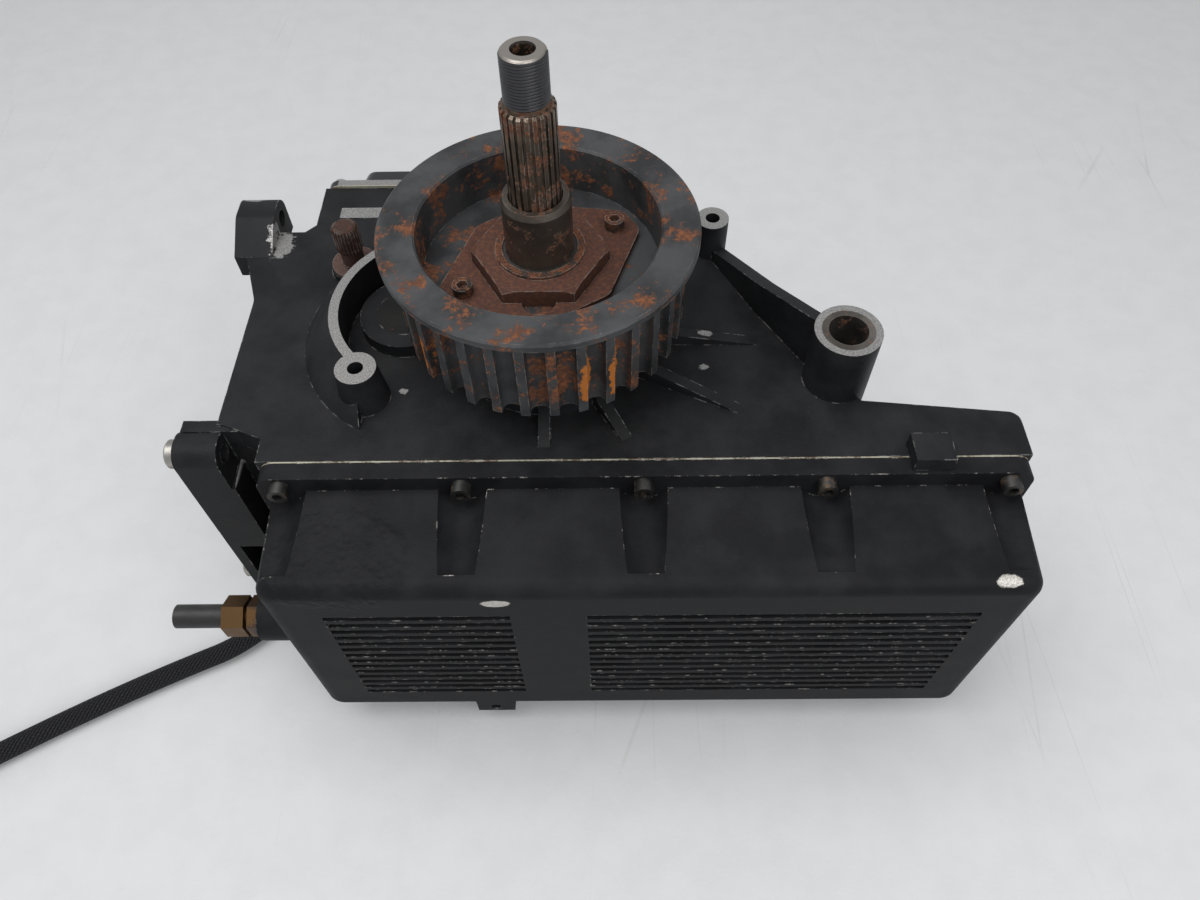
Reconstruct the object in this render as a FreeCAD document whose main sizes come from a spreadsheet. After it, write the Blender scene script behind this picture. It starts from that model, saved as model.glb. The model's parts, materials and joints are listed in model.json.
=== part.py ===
import FreeCAD, Part
import Sketcher
import math
import os
from types import SimpleNamespace

Vector = FreeCAD.Vector

# Driving dimensions in millimetres, and angles in degrees.
# The mainshaft's axis is Z; z 0 is the face that the part rests on; +X is the rear; +Y is the top.
# Levels of what the left wall carries, and of the shafts in it, are measured from its outer face, the deck.
SIZES = {
    # Joints along the shafts, up from the resting face
    "cover_depth": 46.0,
    "gasket": 0.8,
    "housing_flange": 12.0,
    "deck": 192.0,
    "wall": 7.0,
    "running_gap": 0.05,
    "joint_gap": 0.3,
    # Gear chamber
    "case_front": -141.0,
    "case_rear": 62.0,
    "case_top": 127.0,
    "case_corner": 14.0,
    "chamber_floor": -52.0,
    "chamber_wall": 6.0,
    "seam": -77.4,
    "base_thick": 12.0,
    # Oil pan
    "pan_front": -140.0,
    "pan_rear": 237.0,
    "pan_right": 10.0,
    "pan_corner": 8.0,
    "pan_flange": 9.6,
    "pan_depth": 62.6,
    "pan_wall": 4.5,
    "tub_inset": 10.0,
    "tub_draft": 6.0,
    "tub_corner": 10.5,
    "tub_edge": 8.5,
    "tub_rear_inset": 2.0,
    "tub_front_inset": 4.0,
    "valley_radius": 12.5,
    "valley_end_radius": 8.5,
    "valley_stop": 9.0,
    "fin_pitch": 7.5,
    "fin_groove": 4.2,
    "fin_depth": 2.2,
    "fin_top": 47.6,
    "fin_count": 14,
    "fin_left_front": -108.0,
    "fin_left_rear": -17.0,
    "fin_right_front": 20.5,
    "fin_right_rear": 211.0,
    "lug_x": -37.0,
    "lug_width": 22.0,
    "lug_drop": 9.0,
    "lug_length": 14.0,
    # Pan screws
    "pan_screw_pitch": 88.4,
    "pan_screw_inset": 6.0,
    "pan_screw_end_inset": 11.7,
    "pan_head_radius": 4.75,
    "pan_head_height": 6.4,
    "pan_shank_radius": 3.1,
    "pan_screw_grip": 18.0,
    "hex_key": 4.8,
    "hex_depth": 3.2,
    # Tail and rear deck
    "tail_low_x": 160.0,
    "tail_low_y": -43.0,
    "tail_high_y": -51.5,
    "tail_corner": 6.0,
    "tail_wall": 6.0,
    "deck_web_x": 120.0,
    "deck_web_y": 20.0,
    "deck_web_radius": 70.0,
    "pivot_x": 148.4,
    "pivot_y": -28.0,
    "pivot_radius": 16.6,
    "pivot_top": 36.0,
    "pivot_low": 16.0,
    "pivot_bore": 9.7,
    "sleeve_radius": 13.0,
    "spine_thick": 8.0,
    "tab_x": 186.5,
    "tab_width": 19.0,
    "tab_height": 9.0,
    "tab_in": 7.4,
    "tab_out": 8.6,
    "web_thick": 8.5,
    "web_rise": 4.0,
    # Bosses on the left wall
    "boss_radius": 50.0,
    "boss_top": 12.0,
    "boss_low": -15.0,
    "rim_top": 23.0,
    "rim_x": -56.7,
    "rim_y": 5.6,
    "rim_radius": 53.2,
    "rim_thick": 5.0,
    "skirt_thick": 18.0,
    "guard_front_x": -92.5,
    "guard_front_y": -37.6,
    "guard_front_radius": 10.3,
    "guard_rear_x": 91.0,
    "guard_rear_y": 69.0,
    "guard_rear_radius": 9.0,
    "guard_hole": 3.97,
    "guard_hole_depth": 20.0,
    "rib_thick": 6.0,
    "rib_rise": 11.0,
    "pad_x": -114.0,
    "pad_y": 103.5,
    "pad_length": 28.0,
    "pad_width": 9.0,
    "pad_rise": 0.6,
    # Front mounting ears, and the column that joins the two lower ones
    "ear_face": -184.0,
    "ear_thick": 22.0,
    "ear_lug": 10.5,
    "ear_slope": 21.0,
    "ear_high_y": 98.0,
    "ear_low_y": -65.0,
    "ear_high_rise": 1.5,
    "ear_low_drop": 10.0,
    "ear_right_z": 64.0,
    "ear_hole": 5.0,
    "waist_depth": 19.0,
    "waist_y": 32.0,
    "notch": 6.0,
    "flange_thick": 14.0,
    "flange_slope": 9.0,
    "column_thin": 6.0,
    "column_low": 48.0,
    "column_step": 105.0,
    "ledge_drop": 27.0,
    "ledge_out": 2.0,
    "ledge_width": 32.5,
    "dowel_radius": 7.5,
    "dowel_bore": 5.4,
    "dowel_length": 16.0,
    "dowel_out": 6.0,
    # Shafts
    "counter_x": -76.0,
    "counter_y": 14.0,
    "gear_top": -16.0,
    "gear_low": 7.2,
    "dog_gap": 7.0,
    "fork_gap": 15.0,
    "dog_height": 3.0,
    "dog_width": 6.0,
    "collar_height": 8.0,
    "collar_groove": 5.0,
    "collar_groove_depth": 3.0,
    "collar_rim": 6.5,
    "main_radius": 15.0,
    "main_seat": 12.5,
    "main_low": 33.0,
    "main_bore": 5.25,
    "shaft_nut_height": 9.0,
    "shaft_nut_radius": 15.0,
    "shaft_thread": 10.0,
    "counter_radius": 14.0,
    "counter_needle": 10.0,
    "spline_low": 95.0,
    "spline_top": 143.0,
    "spline_radius": 12.0,
    "spline_depth": 1.3,
    "spline_groove": 1.5,
    "spline_count": 22,
    "thread_radius": 9.5,
    "main_top": 166.3,
    "end_chamfer": 1.0,
    "race_low": 60.5,
    "race_top": 97.0,
    "race_radius": 16.15,
    # Teeth, by pair: 5 drives the pulley's gear, 4 to 1 join the shafts
    "teeth_main_5": 33,
    "teeth_counter_5": 25,
    "teeth_main_2": 22,
    "teeth_counter_2": 36,
    "teeth_main_3": 27,
    "teeth_counter_3": 31,
    "teeth_main_1": 17,
    "teeth_counter_1": 41,
    "teeth_main_4": 30,
    "teeth_counter_4": 28,
    "addendum": 0.85,
    "dedendum": 1.12,
    "backlash": 0.6,
    "flank_angle": 22.0,
    # Main drive gear and pulley
    "drive_radius": 22.5,
    "drive_bore": 16.5,
    "drive_thread": 21.5,
    "drive_shoulder": 28.0,
    "drive_end": 66.5,
    "drive_seal_radius": 18.0,
    "drive_seal_length": 8.0,
    "needle_length": 22.0,
    "belt_teeth": 32,
    "belt_pitch": 14.0,
    "belt_pitch_line": 1.4,
    "belt_groove_radius": 4.6,
    "belt_groove_depth": 6.2,
    "pulley_top": 80.0,
    "pulley_height": 55.2,
    "pulley_flange": 5.0,
    "pulley_flange_radius": 75.5,
    "pulley_dish": 57.3,
    "pulley_web": 55.0,
    "pulley_web_thick": 12.0,
    "pulley_hub": 34.0,
    "nut_flats": 57.6,
    "nut_height": 10.0,
    "lock_thick": 3.2,
    "lock_length": 52.0,
    "lock_width": 38.0,
    "lock_ear": 8.0,
    "lock_waist": 15.0,
    "lock_angle": 32.0,
    "lock_screw_radius": 42.0,
    "lock_gap": 0.4,
    "lock_head_radius": 4.8,
    "lock_head_height": 5.5,
    "lock_shank_radius": 3.1,
    "lock_shank_length": 12.0,
    # Bearings
    "ball_bearing_outer": 40.0,
    "ball_bearing_width": 18.0,
    "ball_bearing_low": -14.0,
    "ring_thick": 6.0,
    "shield_thick": 1.0,
    "seal_radius": 31.0,
    "seal_height": 6.0,
    "right_bearing_outer": 26.0,
    "right_bearing_width": 15.0,
    "housing_hub": 32.0,
    "needle_cup_radius": 16.0,
    "needle_cup_wall": 3.0,
    "counter_boss": 25.0,
    "counter_boss_top": 8.0,
    "counter_shaft_top": 3.0,
    # Shifting
    "drum_x": -38.0,
    "drum_y": 96.0,
    "drum_radius": 19.0,
    "drum_shaft": 8.0,
    "drum_track": 5.6,
    "drum_track_depth": 3.5,
    "fork_shaft_x": -12.0,
    "fork_shaft_y": 74.0,
    "fork_shaft_radius": 6.0,
    "fork_boss": 10.0,
    "fork_thick": 4.6,
    "fork_rim": 7.0,
    "fork_pin": 2.6,
    "shift_x": -111.5,
    "shift_y": 57.0,
    "shift_radius": 6.2,
    "shift_journal": 7.0,
    "shift_top": 31.0,
    "shift_low": -32.0,
    "shift_arm_length": 44.0,
    "shift_arm_angle": 28.0,
    "shift_arm_thick": 4.5,
    "shift_arm_low": -14.5,
    "shift_washer_radius": 12.5,
    "shift_washer_thick": 2.0,
    "shift_boss_rise": 3.0,
    # Bearing housing and side cover
    "cover_front": -116.0,
    "cover_rear": 58.0,
    "cover_top": 84.0,
    "cover_bottom": -52.0,
    "cover_corner": 30.0,
    "cover_edge": 7.0,
    "cover_wall": 6.5,
    "cover_cavity": 44.0,
    "counter_pocket": 24.0,
    "counter_pocket_floor": 26.0,
    "pilot_radius": 8.0,
    "pilot_top": 22.0,
    "ramp_radius": 26.0,
    "ramp_thick": 6.0,
    "ramp_low": 7.0,
    "ramp_gap": 4.4,
    "ramp_lever": 38.0,
    "ramp_lever_width": 10.0,
    "ramp_lever_angle": 215.0,
    "ball_radius": 3.6,
    "ball_circle": 18.0,
    "throwout_radius": 12.0,
    "throwout_height": 5.0,
    "rod_radius": 4.9,
    "rod_top": 44.0,
    "housing_screw_head": 5.5,
    "housing_screw_height": 7.0,
    "housing_screw_shank": 3.6,
    "housing_screw_inset": 26.0,
    "cover_screw_inset": 9.0,
    "screw_bite": 14.0,
    "plug_radius": 11.0,
    "plug_height": 5.0,
    "plug_x": -78.0,
    "plug_y": 62.0,
    # Top cover
    "lid_front": -141.0,
    "lid_rear": 22.0,
    "lid_right": 78.0,
    "lid_left": 1.5,
    "lid_flange": 5.0,
    "lid_rise": 28.0,
    "lid_inset": 15.0,
    "lid_slope": 4.0,
    "lid_corner": 8.0,
    "lid_wall": 3.5,
    "lid_screw_inset": 7.0,
    "lid_head_radius": 4.6,
    "lid_head_height": 4.6,
    "switch_radius": 9.0,
    "switch_height": 14.0,
    # Oil sender
    "sender_y": -122.0,
    "sender_z": 113.0,
    "sender_boss_radius": 13.0,
    "sender_boss_out": 20.0,
    "adapter_flats": 19.0,
    "adapter_length": 6.0,
    "sender_flats": 19.0,
    "sender_hex": 11.5,
    "sender_neck": 2.0,
    "sender_body_radius": 6.3,
    "sender_body": 27.0,
    # Clutch cable
    "cable_radius": 6.25,
    "ferrule_radius": 8.5,
    "ferrule_length": 20.0,
    "ferrule_y": -40.0,
    "ferrule_z": 20.0,
    "coil_x": -462.0,
    "coil_y": -133.0,
    "coil_radius": 70.0,
    "coil_turns": 3,
    "fitting_radius": 5.5,
    "fitting_length": 42.0,
    "fitting_barrel": 4.0,
}

document = FreeCAD.newDocument("transmission")
sheet = document.addObject("Spreadsheet::Sheet", "Sizes")


class Size:
    """A length that knows both its number and the sheet expression behind it."""

    def __init__(self, number, text):
        self.number = float(number)
        self.text = text

    def __add__(self, other):
        other = sized(other)
        return Size(self.number + other.number, f"({self.text} + {other.text})")

    def __sub__(self, other):
        other = sized(other)
        return Size(self.number - other.number, f"({self.text} - {other.text})")

    def __mul__(self, other):
        other = sized(other)
        return Size(self.number * other.number, f"({self.text} * {other.text})")

    def __truediv__(self, other):
        other = sized(other)
        return Size(self.number / other.number, f"({self.text} / {other.text})")

    def __radd__(self, other):
        return sized(other) + self

    def __rsub__(self, other):
        return sized(other) - self

    def __rmul__(self, other):
        return sized(other) * self

    def __neg__(self):
        return Size(-self.number, f"(0 - {self.text})")


def sized(value):
    """Return a Size for a Size or a plain number."""
    if isinstance(value, Size):
        return value
    return Size(value, f"({value!r})")


def along(radius, degrees, turn):
    """Return radius times the sine or cosine, named by turn, of an angle in degrees."""
    radius = sized(radius)
    degrees = sized(degrees)
    function = math.cos if turn == "cos" else math.sin
    number = radius.number * function(math.radians(degrees.number))
    return Size(number, f"({radius.text} * {turn}({degrees.text} * 1deg))")


def fill_sheet():
    """Write every driving dimension to the sheet and return them by name."""
    cells = {}
    for row, (alias, number) in enumerate(SIZES.items(), start=1):
        sheet.set(f"A{row}", alias)
        sheet.set(f"B{row}", str(number))
        sheet.setAlias(f"B{row}", alias)
        cells[alias] = Size(number, f"Sizes.{alias}")
    document.recompute()
    return SimpleNamespace(**cells)


d = fill_sheet()
ORIGIN = sized(0)

# Levels and places worked out from the sheet
cover_face = d.cover_depth + d.gasket
housing_top = cover_face + d.housing_flange
case_right = housing_top + d.gasket
chamber_top = d.deck - d.wall
base_top = d.seam + d.base_thick
pan_joint = d.seam - d.gasket
pan_flange_face = pan_joint - d.pan_flange
pan_face = pan_joint - d.pan_depth
lid_joint = d.case_top + d.gasket
pulley_pitch_radius = d.belt_teeth * d.belt_pitch / (2 * math.pi)
pulley_radius = pulley_pitch_radius - d.belt_pitch_line
right_bearing_low = cover_face
right_bearing_top = cover_face + d.right_bearing_width

# Levels measured from the deck
boss_top = d.deck + d.boss_top
boss_low = d.deck + d.boss_low
rim_top = d.deck + d.rim_top
pivot_top = d.deck + d.pivot_top
gear_top = d.deck + d.gear_top
spline_low = d.deck + d.spline_low
spline_top = d.deck + d.spline_top
main_top = d.deck + d.main_top
race_low = d.deck + d.race_low
race_top = d.deck + d.race_top
drive_end = d.deck + d.drive_end
pulley_top = d.deck + d.pulley_top
pulley_web = d.deck + d.pulley_web
ball_bearing_low = d.deck + d.ball_bearing_low
counter_boss_top = d.deck + d.counter_boss_top
counter_shaft_top = d.deck + d.counter_shaft_top
shift_top = d.deck + d.shift_top
shift_low = d.deck + d.shift_low
shift_arm_low = d.deck + d.shift_arm_low
lid_left = d.deck + d.lid_left
rod_top = d.deck + d.rod_top
pulley_low = pulley_top - d.pulley_height
fin_top = (d.deck + d.pan_right) / 2 + d.fin_top

# The five gear pairs fill the room between the right bearings and the left wall
gear_width = (gear_top - right_bearing_top - d.gear_low - d.dog_gap - d.fork_gap * 3) / 5

# Lower face of each gear pair, from the left wall down
pair_5 = gear_top - gear_width
pair_2 = pair_5 - d.dog_gap - gear_width
pair_3 = pair_2 - d.fork_gap - gear_width
pair_1 = pair_3 - d.fork_gap - gear_width
pair_4 = pair_1 - d.fork_gap - gear_width

outputs = []


def bind(item, target, value):
    """Set one property of an object from a Size, with its expression."""
    item.setExpression(target, sized(value).text)


def place(item, x=0, y=0, z=0, axis="Z", angle=0):
    """Put an object at a point, with its own Z turned to an axis, or turned about Z by an angle."""
    turns = {
        "Z": FreeCAD.Rotation(Vector(0, 0, 1), sized(angle).number),
        "X": FreeCAD.Rotation(Vector(0, 1, 0), 90),
        "Y": FreeCAD.Rotation(Vector(1, 0, 0), -90),
    }
    x, y, z = sized(x), sized(y), sized(z)
    item.Placement = FreeCAD.Placement(Vector(x.number, y.number, z.number), turns[axis])
    bind(item, "Placement.Base.x", x)
    bind(item, "Placement.Base.y", y)
    bind(item, "Placement.Base.z", z)
    return item


def cylinder(name, radius, height, x=0, y=0, z=0, axis="Z"):
    """Make a cylinder that starts at a point and runs along an axis."""
    item = document.addObject("Part::Cylinder", name)
    bind(item, "Radius", radius)
    bind(item, "Height", height)
    return place(item, x, y, z, axis)


def cone(name, low_radius, top_radius, height, x=0, y=0, z=0, axis="Z"):
    """Make a tapered boss that starts at a point and runs along an axis."""
    item = document.addObject("Part::Cone", name)
    bind(item, "Radius1", low_radius)
    bind(item, "Radius2", top_radius)
    bind(item, "Height", height)
    return place(item, x, y, z, axis)


def ball(name, radius, x, y, z):
    """Make a ball."""
    item = document.addObject("Part::Sphere", name)
    bind(item, "Radius", radius)
    return place(item, x, y, z)


def box(name, low, high):
    """Make a box between two corners."""
    item = document.addObject("Part::Box", name)
    for target, start, end in zip(("Length", "Width", "Height"), low, high):
        bind(item, target, sized(end) - start)
    return place(item, *low)


def hexagon(name, flats, height, x=0, y=0, z=0, axis="Z"):
    """Make a hexagonal prism from its width across flats."""
    item = document.addObject("Part::Prism", name)
    item.Polygon = 6
    bind(item, "Circumradius", flats / math.sqrt(3))
    bind(item, "Height", height)
    return place(item, x, y, z, axis)


def fuse(name, items):
    """Join solids into one."""
    item = document.addObject("Part::MultiFuse", name)
    item.Shapes = items
    item.Refine = True
    return item


def cut(name, base, tools):
    """Take one or more solids away from a base."""
    item = document.addObject("Part::Cut", name)
    item.Base = base
    item.Tool = tools[0] if len(tools) == 1 else fuse(name + "_tools", tools)
    item.Refine = True
    return item


def corner_arc(corner):
    """Return the tangent points, centre and turn of a rounded corner (before, point, after, radius)."""
    before, point, after, radius = corner
    back = (before - point).normalize()
    ahead = (after - point).normalize()
    half = back.getAngle(ahead) / 2
    reach = radius / math.tan(half)
    middle = (back + ahead).normalize()
    centre = point + middle * (radius / math.sin(half))
    left_turn = (point - before).cross(after - point).z > 0
    return point + back * reach, point + ahead * reach, centre, left_turn


def draw_outline(sketch, corners):
    """Draw a closed outline whose corners, and corner radii, are bound to the sheet."""
    corners = [tuple(sized(value) for value in corner) for corner in corners]
    count = len(corners)
    points = [Vector(corner[0].number, corner[1].number, 0) for corner in corners]
    starts, ends, arcs = {}, {}, {}
    for index, corner in enumerate(corners):
        starts[index] = ends[index] = points[index]
        if len(corner) == 3:
            beside = points[index - 1], points[index], points[(index + 1) % count]
            ends[index], starts[index], centre, left = corner_arc(beside + (corner[2].number,))
            arcs[index] = (centre, left)
    for index in range(count):
        sketch.addGeometry(Part.LineSegment(starts[index], ends[(index + 1) % count]), False)
    rules = []
    bound = []
    for index, corner in enumerate(corners):
        before = (index - 1) % count
        if index in arcs:
            centre, left = arcs[index]
            first, last = (ends[index], starts[index]) if left else (starts[index], ends[index])
            begin = math.atan2(first.y - centre.y, first.x - centre.x)
            finish = math.atan2(last.y - centre.y, last.x - centre.x)
            circle = Part.Circle(centre, Vector(0, 0, 1), corner[2].number)
            arc = sketch.addGeometry(Part.ArcOfCircle(circle, begin, finish), False)
            mark = sketch.addGeometry(Part.Point(points[index]), True)
            enter, leave = (1, 2) if left else (2, 1)
            rules.append(Sketcher.Constraint("Tangent", before, 2, arc, enter))
            rules.append(Sketcher.Constraint("Tangent", arc, leave, index, 1))
            rules.append(Sketcher.Constraint("PointOnObject", mark, 1, before))
            rules.append(Sketcher.Constraint("PointOnObject", mark, 1, index))
            bound.append((Sketcher.Constraint("Radius", arc, corner[2].number), corner[2]))
            held = (mark, 1)
        else:
            rules.append(Sketcher.Constraint("Coincident", before, 2, index, 1))
            held = (index, 1)
        for kind, value in (("DistanceX", corner[0]), ("DistanceY", corner[1])):
            bound.append((Sketcher.Constraint(kind, -1, 1, *held, value.number), value))
    sketch.addConstraint(rules)
    for rule, value in bound:
        number = sketch.addConstraint(rule)
        sketch.setExpression(f"Constraints[{number}]", value.text)


def start_sketch(body, plane, start, corners):
    """Attach a sketch to one of a body's own planes, at a height, and draw its outline."""
    sketch = body.newObject("Sketcher::SketchObject", body.Name + "_outline")
    support = [item for item in body.Origin.OriginFeatures if item.Role == plane + "_Plane"][0]
    sketch.AttachmentSupport = [(support, "")]
    sketch.MapMode = "FlatFace"
    start = sized(start)
    offset = -start if plane == "XZ" else start
    sketch.AttachmentOffset = FreeCAD.Placement(Vector(0, 0, offset.number), FreeCAD.Rotation())
    bind(sketch, "AttachmentOffset.Base.z", offset)
    draw_outline(sketch, corners)
    return sketch


def prism(name, corners, start, depth, plane="XY"):
    """Pad an outline from a start height up its plane's positive axis."""
    body = document.addObject("PartDesign::Body", name)
    sketch = start_sketch(body, plane, start, corners)
    pad = body.newObject("PartDesign::Pad", name + "_pad")
    pad.Profile = sketch
    pad.Reversed = plane == "XZ"
    bind(pad, "Length", depth)
    body.Tip = pad
    return body


def turned(name, profile, x=0, y=0, z=0, axis="Z"):
    """Turn a profile of (radius, height) corners about its own axis."""
    body = document.addObject("PartDesign::Body", name)
    sketch = start_sketch(body, "XZ", 0, profile)
    spin = body.newObject("PartDesign::Revolution", name + "_turn")
    spin.Profile = sketch
    spin.ReferenceAxis = (sketch, ["V_Axis"])
    spin.Angle = 360
    body.Tip = spin
    return place(body, x, y, z, axis)


def ring(name, inner, outer, height, x=0, y=0, z=0, axis="Z"):
    """Turn a plain ring."""
    profile = [(inner, 0), (outer, 0), (outer, height), (inner, height)]
    return turned(name, profile, x, y, z, axis)


def loft(name, sections):
    """Join outlines on parallel XZ planes, given as (corners, y), with straight sides."""
    sketches = []
    for number, (corners, level) in enumerate(sections):
        body = document.addObject("PartDesign::Body", f"{name}_section_{number}")
        sketches.append(start_sketch(body, "XZ", level, corners))
    item = document.addObject("Part::Loft", name)
    item.Sections = sketches
    item.Solid = True
    item.Ruled = True
    return item


def rectangle(front, rear, low, high, radius):
    """Return the corners of a rectangle with one corner radius."""
    return [
        (front, low, radius),
        (rear, low, radius),
        (rear, high, radius),
        (front, high, radius),
    ]


def formed(name, shape, x=0, y=0, z=0, angle=0):
    """Hold a shape that a formula or a copy gives, then place it."""
    item = document.addObject("Part::Feature", name)
    item.Shape = shape
    return place(item, x, y, z, angle=angle)


def keep(name, item):
    """List an object as a finished sub-part under its own name."""
    item.Label = name
    outputs.append((name, item))
    return item


def copies(name, master, places):
    """Repeat one finished solid at several points, as a group of separate solids."""
    document.recompute()
    solids = []
    for point in places:
        solid = master.Shape.copy()
        solid.translate(Vector(*[sized(value).number for value in point]))
        solids.append(solid)
    return formed(name, Part.makeCompound(solids))


def group(name, items):
    """Hold several solids that aren't joined as one sub-part."""
    item = document.addObject("Part::Compound", name)
    item.Links = items
    return item


def socket_screw(name, head, height, shank, length, axis, head_first=False):
    """Make a socket-head screw seated at the origin, its head on the axis's near or far side."""
    step = {"Z": (0, 0, 1), "Y": (0, 1, 0)}[axis]
    head_start, shank_start, key_start = (0, -length, height - d.hex_depth) if head_first else (-height, 0, -height)
    places = [[sized(start) * way for way in step] for start in (head_start, shank_start, key_start)]
    top = cylinder(name + "_head", head, height, *places[0], axis=axis)
    pin = cylinder(name + "_shank", shank, length, *places[1], axis=axis)
    key = hexagon(name + "_key", d.hex_key, d.hex_depth, *places[2], axis=axis)
    return cut(name, fuse(name + "_blank", [top, pin]), [key])


# Gears


def gear_module():
    """Return the module that puts pair 5 at the shafts' distance."""
    distance = math.hypot(d.counter_x.number, d.counter_y.number)
    return 2 * distance / (d.teeth_main_5.number + d.teeth_counter_5.number)


def pitch_radius(teeth, partner):
    """Return a gear's pitch radius from its share of the shafts' distance."""
    distance = math.hypot(d.counter_x.number, d.counter_y.number)
    return distance * teeth.number / (teeth.number + partner.number)


def toothed_disc(name, teeth, partner, on_counter, bore, level):
    """Make a spur gear in mesh at rest: a tooth on the main shaft faces a gap on the countershaft."""
    count = int(teeth.number)
    module = gear_module()
    pitch = pitch_radius(teeth, partner)
    tip = pitch + d.addendum.number * module
    root = pitch - d.dedendum.number * module
    half_pitch = (math.pi * pitch / count - d.backlash.number) / 2
    slope = math.tan(math.radians(d.flank_angle.number))
    tip_half = (half_pitch - (tip - pitch) * slope) / tip
    root_half = (half_pitch + (pitch - root) * slope) / root
    towards = math.atan2(d.counter_y.number, d.counter_x.number)
    phase = towards + math.pi + math.pi / count if on_counter else towards
    corners = []
    for number in range(count):
        middle = phase + 2 * math.pi * number / count
        for radius, lean in ((root, -root_half), (tip, -tip_half), (tip, tip_half), (root, root_half)):
            turn = middle + lean
            corners.append(Vector(radius * math.cos(turn), radius * math.sin(turn), 0))
    outline = Part.Face(Part.makePolygon(corners + corners[:1]))
    disc = outline.extrude(Vector(0, 0, gear_width.number))
    hole = Part.makeCylinder(bore.number, gear_width.number)
    x, y = (d.counter_x, d.counter_y) if on_counter else (0, 0)
    return formed(name, disc.cut(hole), x, y, level)


def dogs(name, x, y, low, inner, turn):
    """Stand four driving dogs on a ring round a shaft."""
    items = []
    start = inner + d.end_chamfer / 2
    for number in range(4):
        angle = turn + 90 * number
        dog = box(f"{name}_{number}", (0, 0, 0), (d.collar_rim - d.end_chamfer, d.dog_width, d.dog_height))
        base_x = x + along(d.dog_width / 2, angle, "sin") + along(start, angle, "cos")
        base_y = y - along(d.dog_width / 2, angle, "cos") + along(start, angle, "sin")
        items.append(place(dog, base_x, base_y, low, angle=angle))
    return items


def collar(name, x, y, low, bore, grooved):
    """Make the collar that a fork rides in, or the plain hub of the gear that faces one."""
    outer = bore + d.collar_rim
    if not grooved:
        return ring(name, bore, outer, d.collar_height, x, y, low)
    side = (d.collar_height - d.collar_groove) / 2
    floor = outer - d.collar_groove_depth
    profile = [
        (bore, 0),
        (outer, 0),
        (outer, side),
        (floor, side),
        (floor, side + d.collar_groove),
        (outer, side + d.collar_groove),
        (outer, d.collar_height),
        (bore, d.collar_height),
    ]
    return turned(name, profile, x, y, low)


def make_gears():
    """Make the nine gears of the two shafts, with dogs and fork collars."""
    main_bore = d.main_radius
    free_main = d.main_radius + d.running_gap
    counter_bore = d.counter_radius
    free_counter = d.counter_radius + d.running_gap
    x, y = d.counter_x, d.counter_y
    gap_turn = 45

    low = pair_2 - d.collar_height
    parts = [
        toothed_disc("main_2_disc", d.teeth_main_2, d.teeth_counter_2, False, main_bore, pair_2),
        collar("main_2_collar", 0, 0, low, main_bore, True),
    ]
    parts += dogs("main_2_dog_low", 0, 0, low - d.dog_height, main_bore, 0)
    parts += dogs("main_2_dog_top", 0, 0, pair_2 + gear_width, main_bore, 0)
    keep("mainshaft_gear_2", fuse("main_gear_2", parts))

    parts = [toothed_disc("main_3_disc", d.teeth_main_3, d.teeth_counter_3, False, free_main, pair_3)]
    parts += dogs("main_3_dog", 0, 0, pair_3 + gear_width, free_main, gap_turn)
    keep("mainshaft_gear_3", fuse("main_gear_3", parts))

    low = pair_1 - d.collar_height
    parts = [
        toothed_disc("main_1_disc", d.teeth_main_1, d.teeth_counter_1, False, main_bore, pair_1),
        collar("main_1_collar", 0, 0, low, main_bore, True),
    ]
    parts += dogs("main_1_dog", 0, 0, low - d.dog_height, main_bore, 0)
    keep("mainshaft_gear_1", fuse("main_gear_1", parts))

    parts = [toothed_disc("main_4_disc", d.teeth_main_4, d.teeth_counter_4, False, free_main, pair_4)]
    parts += dogs("main_4_dog", 0, 0, pair_4 + gear_width, free_main, gap_turn)
    keep("mainshaft_gear_4", fuse("main_gear_4", parts))

    disc = toothed_disc("counter_5_disc", d.teeth_counter_5, d.teeth_main_5, True, counter_bore, pair_5)
    keep("countershaft_gear_5", disc)

    low = pair_2 - d.collar_height
    parts = [
        toothed_disc("counter_2_disc", d.teeth_counter_2, d.teeth_main_2, True, free_counter, pair_2),
        collar("counter_2_hub", x, y, low, free_counter, False),
    ]
    parts += dogs("counter_2_dog", x, y, low - d.dog_height, free_counter, gap_turn)
    keep("countershaft_gear_2", fuse("counter_gear_2", parts))

    low = pair_3 - d.collar_height
    parts = [
        toothed_disc("counter_3_disc", d.teeth_counter_3, d.teeth_main_3, True, counter_bore, pair_3),
        collar("counter_3_collar", x, y, low, counter_bore, True),
    ]
    parts += dogs("counter_3_dog_low", x, y, low - d.dog_height, counter_bore, 0)
    parts += dogs("counter_3_dog_top", x, y, pair_3 + gear_width, counter_bore, 0)
    keep("countershaft_gear_3", fuse("counter_gear_3", parts))

    parts = [toothed_disc("counter_1_disc", d.teeth_counter_1, d.teeth_main_1, True, free_counter, pair_1)]
    parts += dogs("counter_1_dog", x, y, pair_1 + gear_width, free_counter, gap_turn)
    keep("countershaft_gear_1", fuse("counter_gear_1", parts))

    disc = toothed_disc("counter_4_disc", d.teeth_counter_4, d.teeth_main_4, True, counter_bore, pair_4)
    keep("countershaft_gear_4", disc)


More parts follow.
